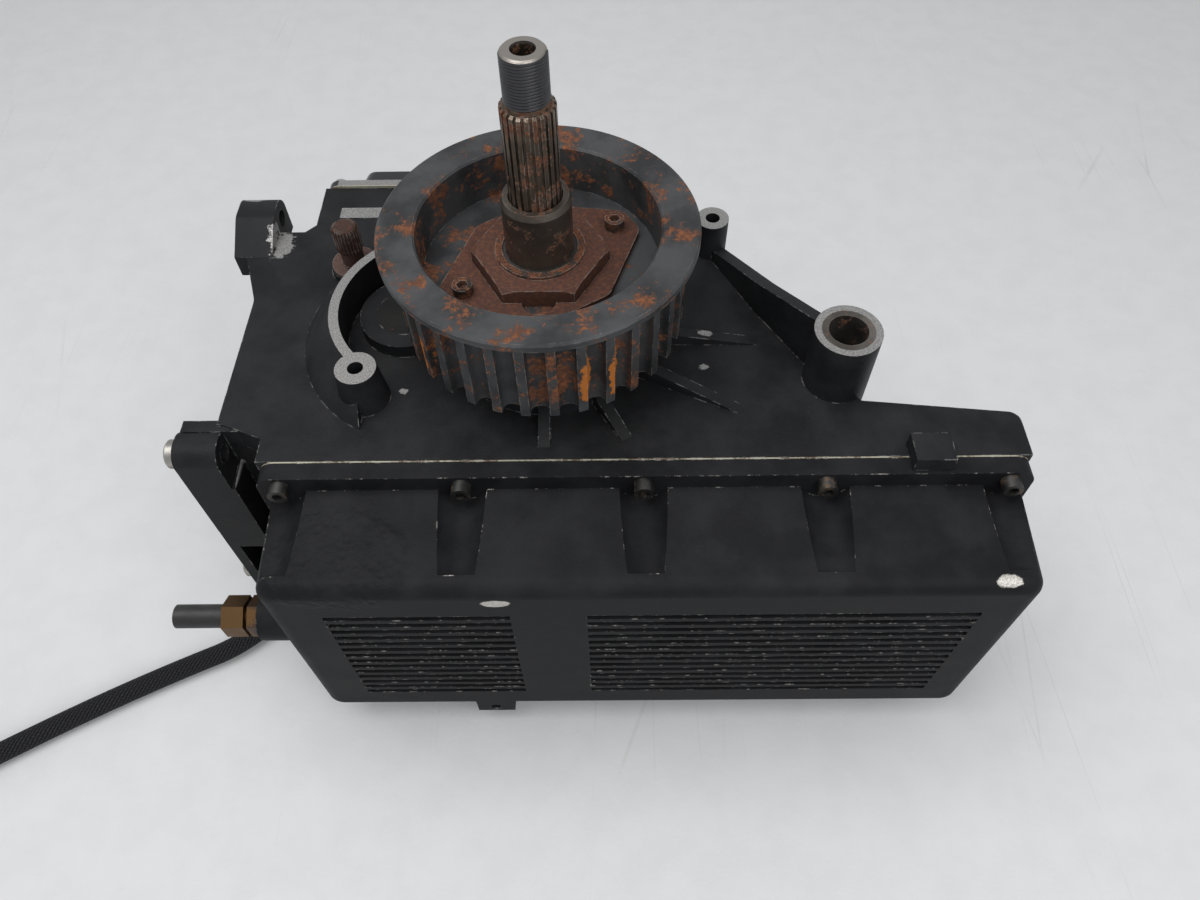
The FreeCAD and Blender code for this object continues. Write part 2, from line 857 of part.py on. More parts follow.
def polar_grooves(body, base, corners, low, depth, count, name):
    """Cut one groove into a turned body and repeat it round the axis."""
    document.recompute()
    sketch = body.newObject("Sketcher::SketchObject", name + "_sketch")
    support = [item for item in body.Origin.OriginFeatures if item.Role == "XY_Plane"][0]
    sketch.AttachmentSupport = [(support, "")]
    sketch.MapMode = "FlatFace"
    bind(sketch, "AttachmentOffset.Base.z", low)
    draw_outline(sketch, corners)
    pocket = body.newObject("PartDesign::Pocket", name)
    pocket.Profile = sketch
    pocket.Reversed = True
    bind(pocket, "Length", depth)
    before = base.Shape.Volume
    document.recompute()
    if pocket.Shape.Volume >= before:
        raise ValueError(f"{name} cuts nothing")
    pattern = body.newObject("PartDesign::PolarPattern", name + "_pattern")
    pattern.Originals = [pocket]
    pattern.Axis = (sketch, ["N_Axis"])
    pattern.Angle = 360
    pattern.Occurrences = int(sized(count).number)
    bind(pattern, "Occurrences", count)
    body.Tip = pattern
    document.recompute()


def make_mainshaft():
    """Make the input shaft: bored through, splined and threaded at the clutch end."""
    root = d.spline_radius - d.spline_depth
    profile = [
        (d.main_bore, d.main_low),
        (d.shaft_thread, d.main_low),
        (d.shaft_thread, cover_face),
        (d.main_seat, cover_face),
        (d.main_seat, right_bearing_top),
        (d.main_radius, right_bearing_top),
        (d.main_radius, pair_5 - d.dog_height),
        (d.main_seat, pair_5 - d.dog_height),
        (d.main_seat, spline_low - d.wall),
        (d.spline_radius, spline_low),
        (d.spline_radius, spline_top - d.end_chamfer),
        (root, spline_top),
        (d.thread_radius, spline_top),
        (d.thread_radius, main_top - d.end_chamfer),
        (d.thread_radius - d.end_chamfer, main_top),
        (d.main_bore, main_top),
    ]
    body = turned("mainshaft_body", profile)
    half = d.spline_groove / 2
    groove = [(root, -half), (d.main_seat, -half), (d.main_seat, half), (root, half)]
    depth = spline_top - spline_low
    polar_grooves(body, body.Tip, groove, spline_low, depth, d.spline_count, "spline")
    keep("mainshaft", body)

    corner = d.ring_thick / 2
    profile = [
        (d.main_seat, 0),
        (d.race_radius, 0),
        (d.race_radius, race_top - race_low - corner),
        (d.race_radius - d.end_chamfer, race_top - race_low),
        (d.main_seat, race_top - race_low),
    ]
    keep("clutch_bearing_race", turned("race", profile, z=race_low))
    nut = cut(
        "main_nut",
        hexagon("main_nut_hexagon", d.shaft_nut_radius * 2, d.shaft_nut_height, z=cover_face - d.shaft_nut_height),
        [cylinder("main_nut_thread", d.shaft_thread, d.shaft_nut_height, z=cover_face - d.shaft_nut_height)],
    )
    keep("mainshaft_nut", nut)


def make_countershaft():
    """Make the lower shaft with its needle journal at the left and its nut at the right."""
    low = cover_face - d.shaft_nut_height
    profile = [
        (0, low),
        (d.shaft_thread, low),
        (d.shaft_thread, cover_face),
        (d.main_seat, cover_face),
        (d.main_seat, right_bearing_top),
        (d.counter_radius, right_bearing_top),
        (d.counter_radius, gear_top + d.end_chamfer),
        (d.counter_needle, gear_top + d.end_chamfer),
        (d.counter_needle, counter_shaft_top),
        (0, counter_shaft_top),
    ]
    keep("countershaft", turned("counter_body", profile, d.counter_x, d.counter_y))
    at = (d.counter_x, d.counter_y, low)
    blank = hexagon("counter_nut_hexagon", d.shaft_nut_radius * 2, d.shaft_nut_height, *at)
    thread = cylinder("counter_nut_thread", d.shaft_thread, d.shaft_nut_height, *at)
    keep("countershaft_nut", cut("counter_nut", blank, [thread]))


def make_drive_gear():
    """Make the hollow main drive gear that carries the pulley, with its seal and needle bearings."""
    seal_low = drive_end - d.gasket - d.drive_seal_length
    profile = [
        (d.drive_bore, pair_5),
        (d.drive_shoulder, pair_5),
        (d.drive_shoulder, ball_bearing_low),
        (d.drive_radius, ball_bearing_low),
        (d.drive_radius, pulley_web),
        (d.drive_thread, pulley_web),
        (d.drive_thread, drive_end),
        (d.drive_seal_radius, drive_end),
        (d.drive_seal_radius, seal_low),
        (d.drive_bore, seal_low),
    ]
    parts = [
        toothed_disc("main_5_disc", d.teeth_main_5, d.teeth_counter_5, False, d.drive_radius, pair_5),
        turned("drive_sleeve", profile),
    ]
    parts += dogs("drive_dog", 0, 0, pair_5 - d.dog_height, d.drive_bore, 45)
    keep("main_drive_gear", fuse("drive_gear", parts))
    lip = d.race_radius + d.running_gap
    keep("drive_gear_seal", ring("drive_seal", lip, d.drive_seal_radius, d.drive_seal_length, z=seal_low))
    inner = d.main_seat + d.running_gap
    needles = [
        ring("needles_low", inner, d.drive_bore, d.needle_length, z=pair_5 + d.wall),
        ring("needles_top", inner, d.drive_bore, d.needle_length, z=seal_low - d.needle_length - d.end_chamfer),
    ]
    keep("drive_gear_needle_bearings", fuse("drive_needles", needles))


def make_pulley():
    """Make the belt pulley, its nut, the lock plate round the nut and the two plate screws."""
    belt_top = pulley_top - d.pulley_flange
    profile = [
        (d.drive_radius, pulley_low),
        (d.pulley_hub, pulley_low),
        (d.pulley_hub, pulley_web - d.pulley_web_thick),
        (d.pulley_dish, pulley_web - d.pulley_web_thick),
        (d.pulley_dish, pulley_low),
        (pulley_radius, pulley_low),
        (pulley_radius, belt_top),
        (d.pulley_flange_radius, belt_top + d.end_chamfer),
        (d.pulley_flange_radius, pulley_top - d.end_chamfer),
        (d.pulley_flange_radius - d.end_chamfer, pulley_top),
        (d.pulley_dish + d.end_chamfer, pulley_top),
        (d.pulley_dish, pulley_top - d.end_chamfer),
        (d.pulley_dish, pulley_web),
        (d.drive_radius, pulley_web),
    ]
    body = turned("pulley_body", profile)
    inner = pulley_radius - d.belt_groove_depth
    half = d.belt_groove_radius
    outer = pulley_radius + d.end_chamfer
    round_corner = half * 0.8
    groove = [(inner, -half, round_corner), (outer, -half), (outer, half), (inner, half, round_corner)]
    depth = belt_top - pulley_low
    polar_grooves(body, body.Tip, groove, pulley_low, depth, d.belt_teeth, "belt_groove")
    seats = []
    screw_places = []
    for number in range(2):
        angle = d.lock_angle + 180 * number
        x = along(d.lock_screw_radius, angle, "cos")
        y = along(d.lock_screw_radius, angle, "sin")
        low = pulley_web + d.lock_thick - d.lock_shank_length
        seats.append(cylinder(f"plate_seat_{number}", d.lock_shank_radius, d.lock_shank_length, x, y, low))
        screw_places.append((x, y, pulley_web + d.lock_thick))
    keep("drive_pulley", cut("pulley", body, seats[:2]))

    nut_blank = hexagon("nut_hexagon", d.nut_flats, d.nut_height, z=pulley_web)
    nut_edge = cone("nut_edge", d.nut_flats * 0.78, d.nut_flats * 0.53, d.nut_height, z=pulley_web)
    common = document.addObject("Part::Common", "nut_chamfered")
    common.Base = nut_blank
    common.Tool = nut_edge
    thread = cylinder("nut_thread", d.drive_thread, d.nut_height, z=pulley_web)
    keep("pulley_nut", cut("nut", common, [thread]))

    ear, waist = d.lock_ear, d.lock_waist
    outline = [
        (d.lock_length, -ear, ear),
        (d.lock_length, ear, ear),
        (waist, d.lock_width, ear),
        (-waist, d.lock_width, ear),
        (-d.lock_length, ear, ear),
        (-d.lock_length, -ear, ear),
        (-waist, -d.lock_width, ear),
        (waist, -d.lock_width, ear),
    ]
    plate = place(prism("plate_blank", outline, 0, d.lock_thick), z=pulley_web, angle=d.lock_angle)
    window = hexagon("plate_window", d.nut_flats + d.lock_gap * 2, d.lock_thick, z=pulley_web)
    holes = [
        cylinder(f"plate_hole_{number}", d.lock_shank_radius, d.lock_thick, x, y, pulley_web)
        for number, (x, y, _) in enumerate(screw_places)
    ]
    scallops = [
        cylinder(
            f"plate_scallop_{number}",
            d.lock_ear,
            d.lock_thick,
            along(d.nut_flats / 2, 60 * number + 30, "cos"),
            along(d.nut_flats / 2, 60 * number + 30, "sin"),
            pulley_web,
        )
        for number in (1, 4)
    ]
    keep("lock_plate", cut("plate", plate, [window] + holes + scallops))
    master = socket_screw(
        "plate_screw",
        d.lock_head_radius,
        d.lock_head_height,
        d.lock_shank_radius,
        d.lock_shank_length,
        "Z",
        head_first=True,
    )
    keep("lock_plate_screws", copies("plate_screws", master, screw_places))


def ball_bearing(name, bore, outer, width, x, y, z):
    """Make a shielded ball bearing as two rings: the outer one carries the shields."""
    inner = bore + d.ring_thick
    race = outer - d.ring_thick
    lip = inner + d.running_gap
    profile = [
        (lip, 0),
        (outer, 0),
        (outer, width),
        (lip, width),
        (lip, width - d.shield_thick),
        (race, width - d.shield_thick),
        (race, d.shield_thick),
        (lip, d.shield_thick),
    ]
    keep(name + "_inner_ring", ring(name + "_inner", bore, inner, width, x, y, z))
    return turned(name + "_outer", profile, x, y, z)


def make_bearings():
    """Make the three ball bearings, the output seal and the countershaft's closed needle bearing."""
    outer = ball_bearing(
        "main_bearing", d.drive_radius, d.ball_bearing_outer, d.ball_bearing_width, 0, 0, ball_bearing_low
    )
    keep("main_bearing_outer_ring", outer)
    seat = (d.main_seat, d.right_bearing_outer, d.right_bearing_width)
    pair = [
        ball_bearing("mainshaft_right_bearing", *seat, 0, 0, right_bearing_low),
        ball_bearing("countershaft_right_bearing", *seat, d.counter_x, d.counter_y, right_bearing_low),
    ]
    keep("right_bearing_outer_rings", group("right_rings", pair))
    lip = d.drive_radius + d.running_gap
    keep("output_seal", ring("seal", lip, d.seal_radius, d.seal_height, z=boss_top - d.seal_height))
    low = boss_low + d.end_chamfer
    inner = d.counter_needle + d.running_gap
    top = counter_boss_top
    profile = [
        (inner, low),
        (d.needle_cup_radius, low),
        (d.needle_cup_radius, top),
        (0, top),
        (0, top - d.needle_cup_wall),
        (inner, top - d.needle_cup_wall),
    ]
    keep("countershaft_needle_bearing", turned("needle_cup", profile, d.counter_x, d.counter_y))


# Main case


def chamber_outline(inset):
    """Return the gear chamber's outline, moved in by an inset."""
    radius = d.case_corner
    return [
        (d.case_front + inset, d.seam + inset),
        (d.case_rear - inset, d.seam + inset),
        (d.case_rear - inset, d.case_top * 0.72 - inset, radius),
        (d.lid_rear + d.case_corner - inset, d.case_top - inset),
        (d.case_front + inset, d.case_top - inset),
    ]


def housing_outline():
    """Return the bearing housing's outline, which stands clear of the base and the tail."""
    low = d.seam + d.base_thick + d.joint_gap
    rear = d.case_rear - d.wall - d.joint_gap
    return [
        (d.case_front, low, d.pan_corner),
        (rear, low, d.pan_corner),
        (rear, d.case_top * 0.72, d.case_corner),
        (d.lid_rear + d.case_corner - d.wall, d.case_top),
        (d.case_front, d.case_top, d.pan_corner),
    ]


def cavity_outline():
    """Return the inside outline of the gear chamber."""
    wall = d.chamber_wall
    return [
        (d.case_front + wall, d.chamber_floor, d.case_corner),
        (d.case_rear - wall, d.chamber_floor, d.case_corner),
        (d.case_rear - wall, d.case_top * 0.72 - wall, d.case_corner),
        (d.lid_rear, d.case_top - wall, d.case_corner),
        (d.case_front + wall, d.case_top - wall, d.case_corner),
    ]


def deck_outline():
    """Return the left wall's outline behind the chamber: guard boss, curved web, pivot and tail."""
    return [
        (d.case_rear - d.wall, d.seam),
        (d.tail_low_x, d.seam),
        (d.tail_low_x, d.tail_low_y),
        (d.pivot_x, d.pivot_y),
        (d.deck_web_x, d.deck_web_y, d.deck_web_radius),
        (d.guard_rear_x, d.guard_rear_y + d.guard_rear_radius),
        (d.case_rear - d.wall, d.case_top * 0.72),
    ]


def tail_outline(inset):
    """Return the tail's outline over the pan, moved in by an inset."""
    return [
        (d.case_rear - d.wall, d.seam),
        (d.pan_rear - inset, d.seam),
        (d.pan_rear - inset, d.tail_high_y - inset, d.tail_corner),
        (d.tail_low_x, d.tail_low_y - inset),
        (d.case_rear - d.wall, d.tail_low_y - inset),
    ]


def guard_web():
    """Make the wall that joins the rear guard boss to the pivot tube, with its top rising towards the tube."""
    thick = d.web_thick
    outline = [
        (d.guard_rear_x, d.guard_rear_y + d.guard_rear_radius),
        (d.guard_rear_x - thick, d.guard_rear_y + d.guard_rear_radius),
        (d.deck_web_x - thick, d.deck_web_y, d.deck_web_radius),
        (d.pivot_x - thick, d.pivot_y),
        (d.pivot_x, d.pivot_y),
        (d.deck_web_x, d.deck_web_y, d.deck_web_radius),
    ]
    low = d.deck - d.wall
    side = [
        (d.pivot_y, low),
        (d.guard_rear_y, low),
        (d.guard_rear_y, d.deck + d.web_rise),
        (d.pivot_y, pivot_top),
    ]
    web = document.addObject("Part::Common", "case_web")
    web.Base = prism("case_web_wall", outline, low, pivot_top - low)
    start = d.guard_rear_x - d.guard_rear_radius
    web.Tool = prism("case_web_slope", side, start, d.pivot_x - start, plane="YZ")
    return web


def ear_flange_outline():
    """Return the front flange's outline: notched beside the upper ear, waisted below it, cut short at the lower one."""
    back = d.ear_face + d.ear_thick
    high = d.ear_high_y - d.ear_lug
    low = d.ear_low_y + d.ear_lug
    waist = d.ear_face + d.waist_depth
    return [
        (d.case_front, low - d.flange_slope),
        (back, low),
        (waist, low),
        (waist, d.waist_y, d.case_corner),
        (d.ear_face, high),
        (d.case_front - d.notch, high),
        (d.case_front, high + d.notch),
    ]


def high_ear(name, z, foot):
    """Make an upper mounting ear: a lug round the bolt's axis that slopes down to the flange."""
    y, lug = d.ear_high_y, d.ear_lug
    outline = [
        (y - lug - d.ear_slope, foot),
        (y + lug, foot),
        (y + lug, z + lug, lug - d.end_chamfer),
        (y - lug, z + lug, lug - d.end_chamfer),
        (y - lug - d.ear_slope, foot + d.flange_thick),
    ]
    return prism(name, outline, d.ear_face, d.ear_thick, plane="YZ")


def low_ear(name, z, foot):
    """Make a lower mounting ear: an upright lug with a rounded top."""
    y, lug = d.ear_low_y, d.ear_lug
    outline = [
        (y - lug, foot),
        (y + lug, foot),
        (y + lug, z + lug, lug - d.end_chamfer),
        (y - lug, z + lug, lug - d.end_chamfer),
    ]
    return prism(name, outline, d.ear_face, d.ear_thick, plane="YZ")


def front_column():
    """Make the column between the two lower ears, the ledge below the left one and the wall behind them."""
    low = d.ear_low_y - d.ear_lug
    high = d.ear_low_y + d.ear_lug
    back = d.ear_face + d.ear_thick
    return [
        box(
            "case_column",
            (d.ear_face, low, d.column_low),
            (d.ear_face + d.column_thin, high, d.deck - d.ear_low_drop),
        ),
        box(
            "case_ledge",
            (d.ear_face, low, d.column_step),
            (back + d.ledge_out, low + d.ledge_width, d.deck - d.ledge_drop),
        ),
        box(
            "case_ear_wall",
            (d.ear_face + d.end_chamfer, high - d.wall / 2, case_right),
            (d.case_front + d.end_chamfer, high + d.wall / 2, d.deck - d.end_chamfer),
        ),
    ]


def rib(name, angle, start, end):
    """Make one tapered rib that runs out from the main boss and sinks into the deck."""
    outline = [(start, d.deck - d.end_chamfer), (end, d.deck - d.end_chamfer), (start, d.deck + d.rib_rise)]
    body = prism(name, outline, -d.rib_thick / 2, d.rib_thick, plane="XZ")
    return place(body, angle=angle)


def rim_arc(name, thick, low, top, draft):
    """Make the open curtain wall round the pulley's front, from the front guard boss upwards."""
    outer = cone(
        name + "_outer", d.rim_radius + thick + draft, d.rim_radius + thick, top - low, d.rim_x, d.rim_y, low
    )
    inner = cylinder(name + "_inner", d.rim_radius - d.rim_thick / 2, top - low, d.rim_x, d.rim_y, low)
    reach = d.rim_radius * 2
    clear = box(
        name + "_clear",
        (d.guard_front_x, d.rim_y - reach, low),
        (d.rim_x + reach, d.rim_y + reach, top),
    )
    return cut(name, outer, [inner, clear])


def pan_screw_points(level):
    """Return the twelve pan screws' places: five along each side and one at each end."""
    middle = (d.pan_front + d.pan_rear) / 2
    points = []
    for z in (d.deck - d.pan_screw_inset, d.pan_right + d.pan_screw_inset):
        for number in range(-2, 3):
            points.append((middle + d.pan_screw_pitch * number, level, z))
    centre = (d.deck + d.pan_right) / 2
    points.append((d.pan_front + d.pan_screw_inset, level, centre))
    points.append((d.pan_rear - d.pan_screw_inset, level, centre))
    return points


def housing_screw_points(level):
    """Return the bearing housing's screws in the case, round the chamber."""
    inset = d.chamber_wall / 2 + d.end_chamfer
    low = (d.seam + d.base_thick + d.chamber_floor) / 2
    middle = (d.case_front + d.case_rear) / 2
    return [
        (d.case_front + d.housing_screw_inset, low, level),
        (middle, low, level),
        (d.case_rear - d.housing_screw_inset, low, level),
        (d.case_front + d.housing_screw_inset, d.case_top - inset, level),
        (middle, d.case_top - inset, level),
    ]


def cover_screw_points(level):
    """Return the side cover's six screws, just inside its rim."""
    inset = d.cover_screw_inset
    middle = (d.cover_front + d.cover_rear) / 2
    corner = d.cover_corner / 4
    return [
        (d.cover_front + inset + corner, d.cover_bottom + inset + corner, level),
        (middle, d.cover_bottom + inset, level),
        (d.cover_rear - inset - corner, d.cover_bottom + inset + corner, level),
        (d.cover_rear - inset - corner, d.cover_top - inset - corner, level),
        (middle, d.cover_top - inset, level),
        (d.cover_front + inset + corner, d.cover_top - inset - corner, level),
    ]


def lid_screw_points(level):
    """Return the top cover's six screws."""
    inset = d.lid_screw_inset
    middle = (d.lid_front + d.lid_rear) / 2
    points = []
    for z in (d.lid_right + inset, lid_left - inset):
        for x in (d.lid_front + inset, middle, d.lid_rear - inset):
            points.append((x, level, z))
    return points


def drill(name, radius, depth, points, axis):
    """Return one cylinder for each point, to cut holes."""
    return [
        cylinder(f"{name}_{number}", radius, depth, *point, axis=axis)
        for number, point in enumerate(points)
    ]


def ear_points():
    """Return each mounting ear's bolt axis as (y, z): upper and lower, left and right side."""
    return [
        (d.ear_high_y, d.deck + d.ear_high_rise),
        (d.ear_low_y, d.deck - d.ear_low_drop),
        (d.ear_high_y, d.ear_right_z),
        (d.ear_low_y, d.ear_right_z),
    ]


def make_case():
    """Make the main casting: gear chamber, base over the pan, tail, pivot tube, ears and bosses."""
    depth = d.deck - case_right
    base = prism(
        "case_base",
        rectangle(d.pan_front, d.pan_rear, d.pan_right, d.deck, d.pan_corner),
        d.seam,
        d.base_thick,
        plane="XZ",
    )
    solids = [
        prism("case_block", chamber_outline(ORIGIN), case_right, depth),
        base,
        prism("case_deck", deck_outline(), d.deck - d.wall, d.wall),
        prism("case_low_deck", deck_outline(), case_right, d.wall),
        prism("case_tail", tail_outline(ORIGIN), d.pan_right, d.deck - d.pan_right),
        guard_web(),
        prism("case_flange", ear_flange_outline(), d.deck - d.flange_thick, d.flange_thick),
        prism("case_low_flange", ear_flange_outline(), case_right, d.flange_thick),
        cylinder("case_pivot", d.pivot_radius, pivot_top - d.pivot_low, d.pivot_x, d.pivot_y, d.pivot_low),
        box(
            "case_spine",
            (d.case_rear - d.wall, d.pivot_y - d.spine_thick / 2, case_right),
            (d.pivot_x, d.pivot_y + d.spine_thick / 2, d.deck),
        ),
        box(
            "case_strut",
            (d.pivot_x - d.spine_thick / 2, d.seam, case_right),
            (d.pivot_x + d.spine_thick / 2, d.pivot_y, d.deck),
        ),
        cylinder("case_boss", d.boss_radius, boss_top - boss_low, 0, 0, boss_low),
        cylinder(
            "case_counter_boss",
            d.counter_boss,
            counter_boss_top - boss_low,
            d.counter_x,
            d.counter_y,
            boss_low,
        ),
        cone(
            "case_guard_front",
            d.guard_front_radius * 1.25,
            d.guard_front_radius,
            rim_top - d.deck,
            d.guard_front_x,
            d.guard_front_y,
            d.deck,
        ),
        cylinder(
            "case_guard_rear",
            d.guard_rear_radius,
            rim_top - case_right,
            d.guard_rear_x,
            d.guard_rear_y,
            case_right,
        ),
        rim_arc("case_rim", d.rim_thick / 2, d.deck, rim_top, d.skirt_thick),
        cylinder(
            "case_shift_boss",
            d.shift_washer_radius + d.end_chamfer,
            d.shift_boss_rise + d.wall,
            d.shift_x,
            d.shift_y,
            d.deck - d.wall,
        ),
        box(
            "case_tab",
            (d.tab_x - d.tab_width / 2, d.seam, d.deck - d.wall),
            (d.tab_x + d.tab_width / 2, d.seam + d.tab_in, d.deck + d.tab_height),
        ),
        box(
            "case_tab_lip",
            (d.tab_x - d.tab_width / 2, d.seam - d.tab_out, d.deck + d.joint_gap),
            (d.tab_x + d.tab_width / 2, d.seam + d.tab_in, d.deck + d.tab_height),
        ),
        box(
            "case_pad",
            (d.pad_x - d.pad_length / 2, d.pad_y - d.pad_width / 2, d.deck - d.wall),
            (d.pad_x + d.pad_length / 2, d.pad_y + d.pad_width / 2, d.deck + d.pad_rise),
        ),
    ]
    inside = d.boss_radius - d.rib_thick
    solids.append(rib("rib_low", 270, inside, d.boss_radius * 1.45))
    solids.append(rib("rib_low_rear", 302, inside, d.boss_radius * 1.6))
    solids.append(rib("rib_rear_low", 334, inside, d.boss_radius * 2.35))
    solids.append(rib("rib_rear", 359, inside, d.boss_radius * 2.35))
    points = ear_points()
    solids.append(high_ear("case_ear_high_left", points[0][1], d.deck - d.flange_thick))
    solids.append(low_ear("case_ear_low_left", points[1][1], d.column_step))
    solids.append(high_ear("case_ear_high_right", points[2][1], case_right))
    solids.append(low_ear("case_ear_low_right", points[3][1], d.column_low))
    solids += front_column()
    case = fuse("case_solid", solids)

    holes = [
        prism("cut_chamber", cavity_outline(), case_right, chamber_top - case_right),
        prism("cut_tail", tail_cavity(), d.pan_right + d.base_thick, d.deck - d.pan_right - d.base_thick * 2),
        cylinder("cut_pivot", d.sleeve_radius, pivot_top - d.pivot_low, d.pivot_x, d.pivot_y, d.pivot_low),
        cylinder(
            "cut_main_bearing",
            d.ball_bearing_outer,
            ball_bearing_low + d.ball_bearing_width - boss_low,
            0,
            0,
            boss_low,
        ),
        cylinder("cut_seal", d.seal_radius, boss_top - boss_low, 0, 0, boss_low),
        cylinder(
            "cut_needle",
            d.needle_cup_radius,
            counter_boss_top - boss_low,
            d.counter_x,
            d.counter_y,
            boss_low,
        ),
        cylinder(
            "cut_shift",
            d.shift_journal + d.running_gap,
            d.deck + d.shift_boss_rise - shift_low,
            d.shift_x,
            d.shift_y,
            shift_low,
        ),
        lid_opening(),
        cylinder(
            "cut_washer_room",
            d.shift_washer_radius + d.end_chamfer,
            rim_top - d.deck,
            d.shift_x,
            d.shift_y,
            d.deck + d.shift_boss_rise,
        ),
    ]
    rim = rim_top - d.guard_hole_depth
    holes.append(
        cylinder("cut_guard_front", d.guard_hole, d.guard_hole_depth, d.guard_front_x, d.guard_front_y, rim)
    )
    holes.append(
        cylinder("cut_guard_rear", d.guard_hole, d.guard_hole_depth, d.guard_rear_x, d.guard_rear_y, rim)
    )
    for number, (y, z) in enumerate(points):
        holes.append(cylinder(f"cut_ear_{number}", d.ear_hole, d.ear_thick, d.ear_face, y, z, axis="X"))
    pan_bite = d.pan_screw_grip - d.pan_flange - d.gasket
    holes += drill("cut_pan_screw", d.pan_shank_radius, pan_bite, pan_screw_points(d.seam), "Y")
    holes += drill(
        "cut_housing_screw", d.housing_screw_shank, d.screw_bite, housing_screw_points(case_right), "Z"
    )
    lid_low = d.case_top - d.screw_bite / 2
    holes += drill("cut_lid_screw", d.pan_shank_radius, d.screw_bite / 2, lid_screw_points(lid_low), "Y")
    for number, (y, z) in enumerate(points[1::2]):
        depth = d.dowel_length - d.dowel_out
        holes.append(cylinder(f"cut_dowel_{number}", d.dowel_radius, depth, d.ear_face, y, z, axis="X"))
    keep("gearcase", cut("case", case, holes))


def tail_cavity():
    """Return the hollow of the tail, open to the pan below."""
    wall = d.tail_wall
    return [
        (d.case_rear + wall, d.seam),
        (d.pan_rear - wall * 2, d.seam),
        (d.pan_rear - wall * 2, d.tail_high_y - wall, d.tail_corner),
        (d.tail_low_x, d.tail_low_y - wall),
        (d.case_rear + wall, d.tail_low_y - wall),
    ]


def lid_opening():
    """Return the opening in the chamber's top wall, under the top cover."""
    inset = d.lid_inset
    return prism(
        "cut_lid",
        rectangle(
            d.lid_front + inset, d.lid_rear - inset, d.lid_right + inset, lid_left - inset, d.lid_corner
        ),
        d.case_top - d.chamber_wall - d.end_chamfer,
        d.chamber_wall + d.end_chamfer,
        plane="XZ",
    )


def make_case_fittings():
    """Make the pivot sleeve and the hollow dowels round the lower ears' bolts."""
    length = pivot_top - d.pivot_low
    sleeve = ring("sleeve", d.pivot_bore, d.sleeve_radius, length, d.pivot_x, d.pivot_y, d.pivot_low)
    keep("pivot_sleeve", sleeve)
    edge = d.end_chamfer
    profile = [
        (d.dowel_bore, 0),
        (d.dowel_radius - edge, 0),
        (d.dowel_radius, edge),
        (d.dowel_radius, d.dowel_length),
        (d.dowel_bore, d.dowel_length),
    ]
    start = d.ear_face - d.dowel_out
    pins = [
        turned(f"dowel_{number}", profile, start, y, z, axis="X")
        for number, (y, z) in enumerate(ear_points()[1::2])
    ]
    keep("front_dowels", fuse("dowels", pins))


# Oil pan


def tub(inset):
    """Return the pan's tub as a tapered solid, moved in by an inset, from the joint to near the face."""
    edge = d.tub_inset + inset
    front = d.pan_front + d.tub_front_inset + inset
    rear = d.pan_rear - d.tub_rear_inset - inset
    lean = d.tub_draft
    radius = d.tub_corner
    mouth = rectangle(front, rear, d.pan_right + edge, d.deck - edge, radius)
    floor = rectangle(front, rear, d.pan_right + edge + lean, d.deck - edge - lean, radius)
    return mouth, floor


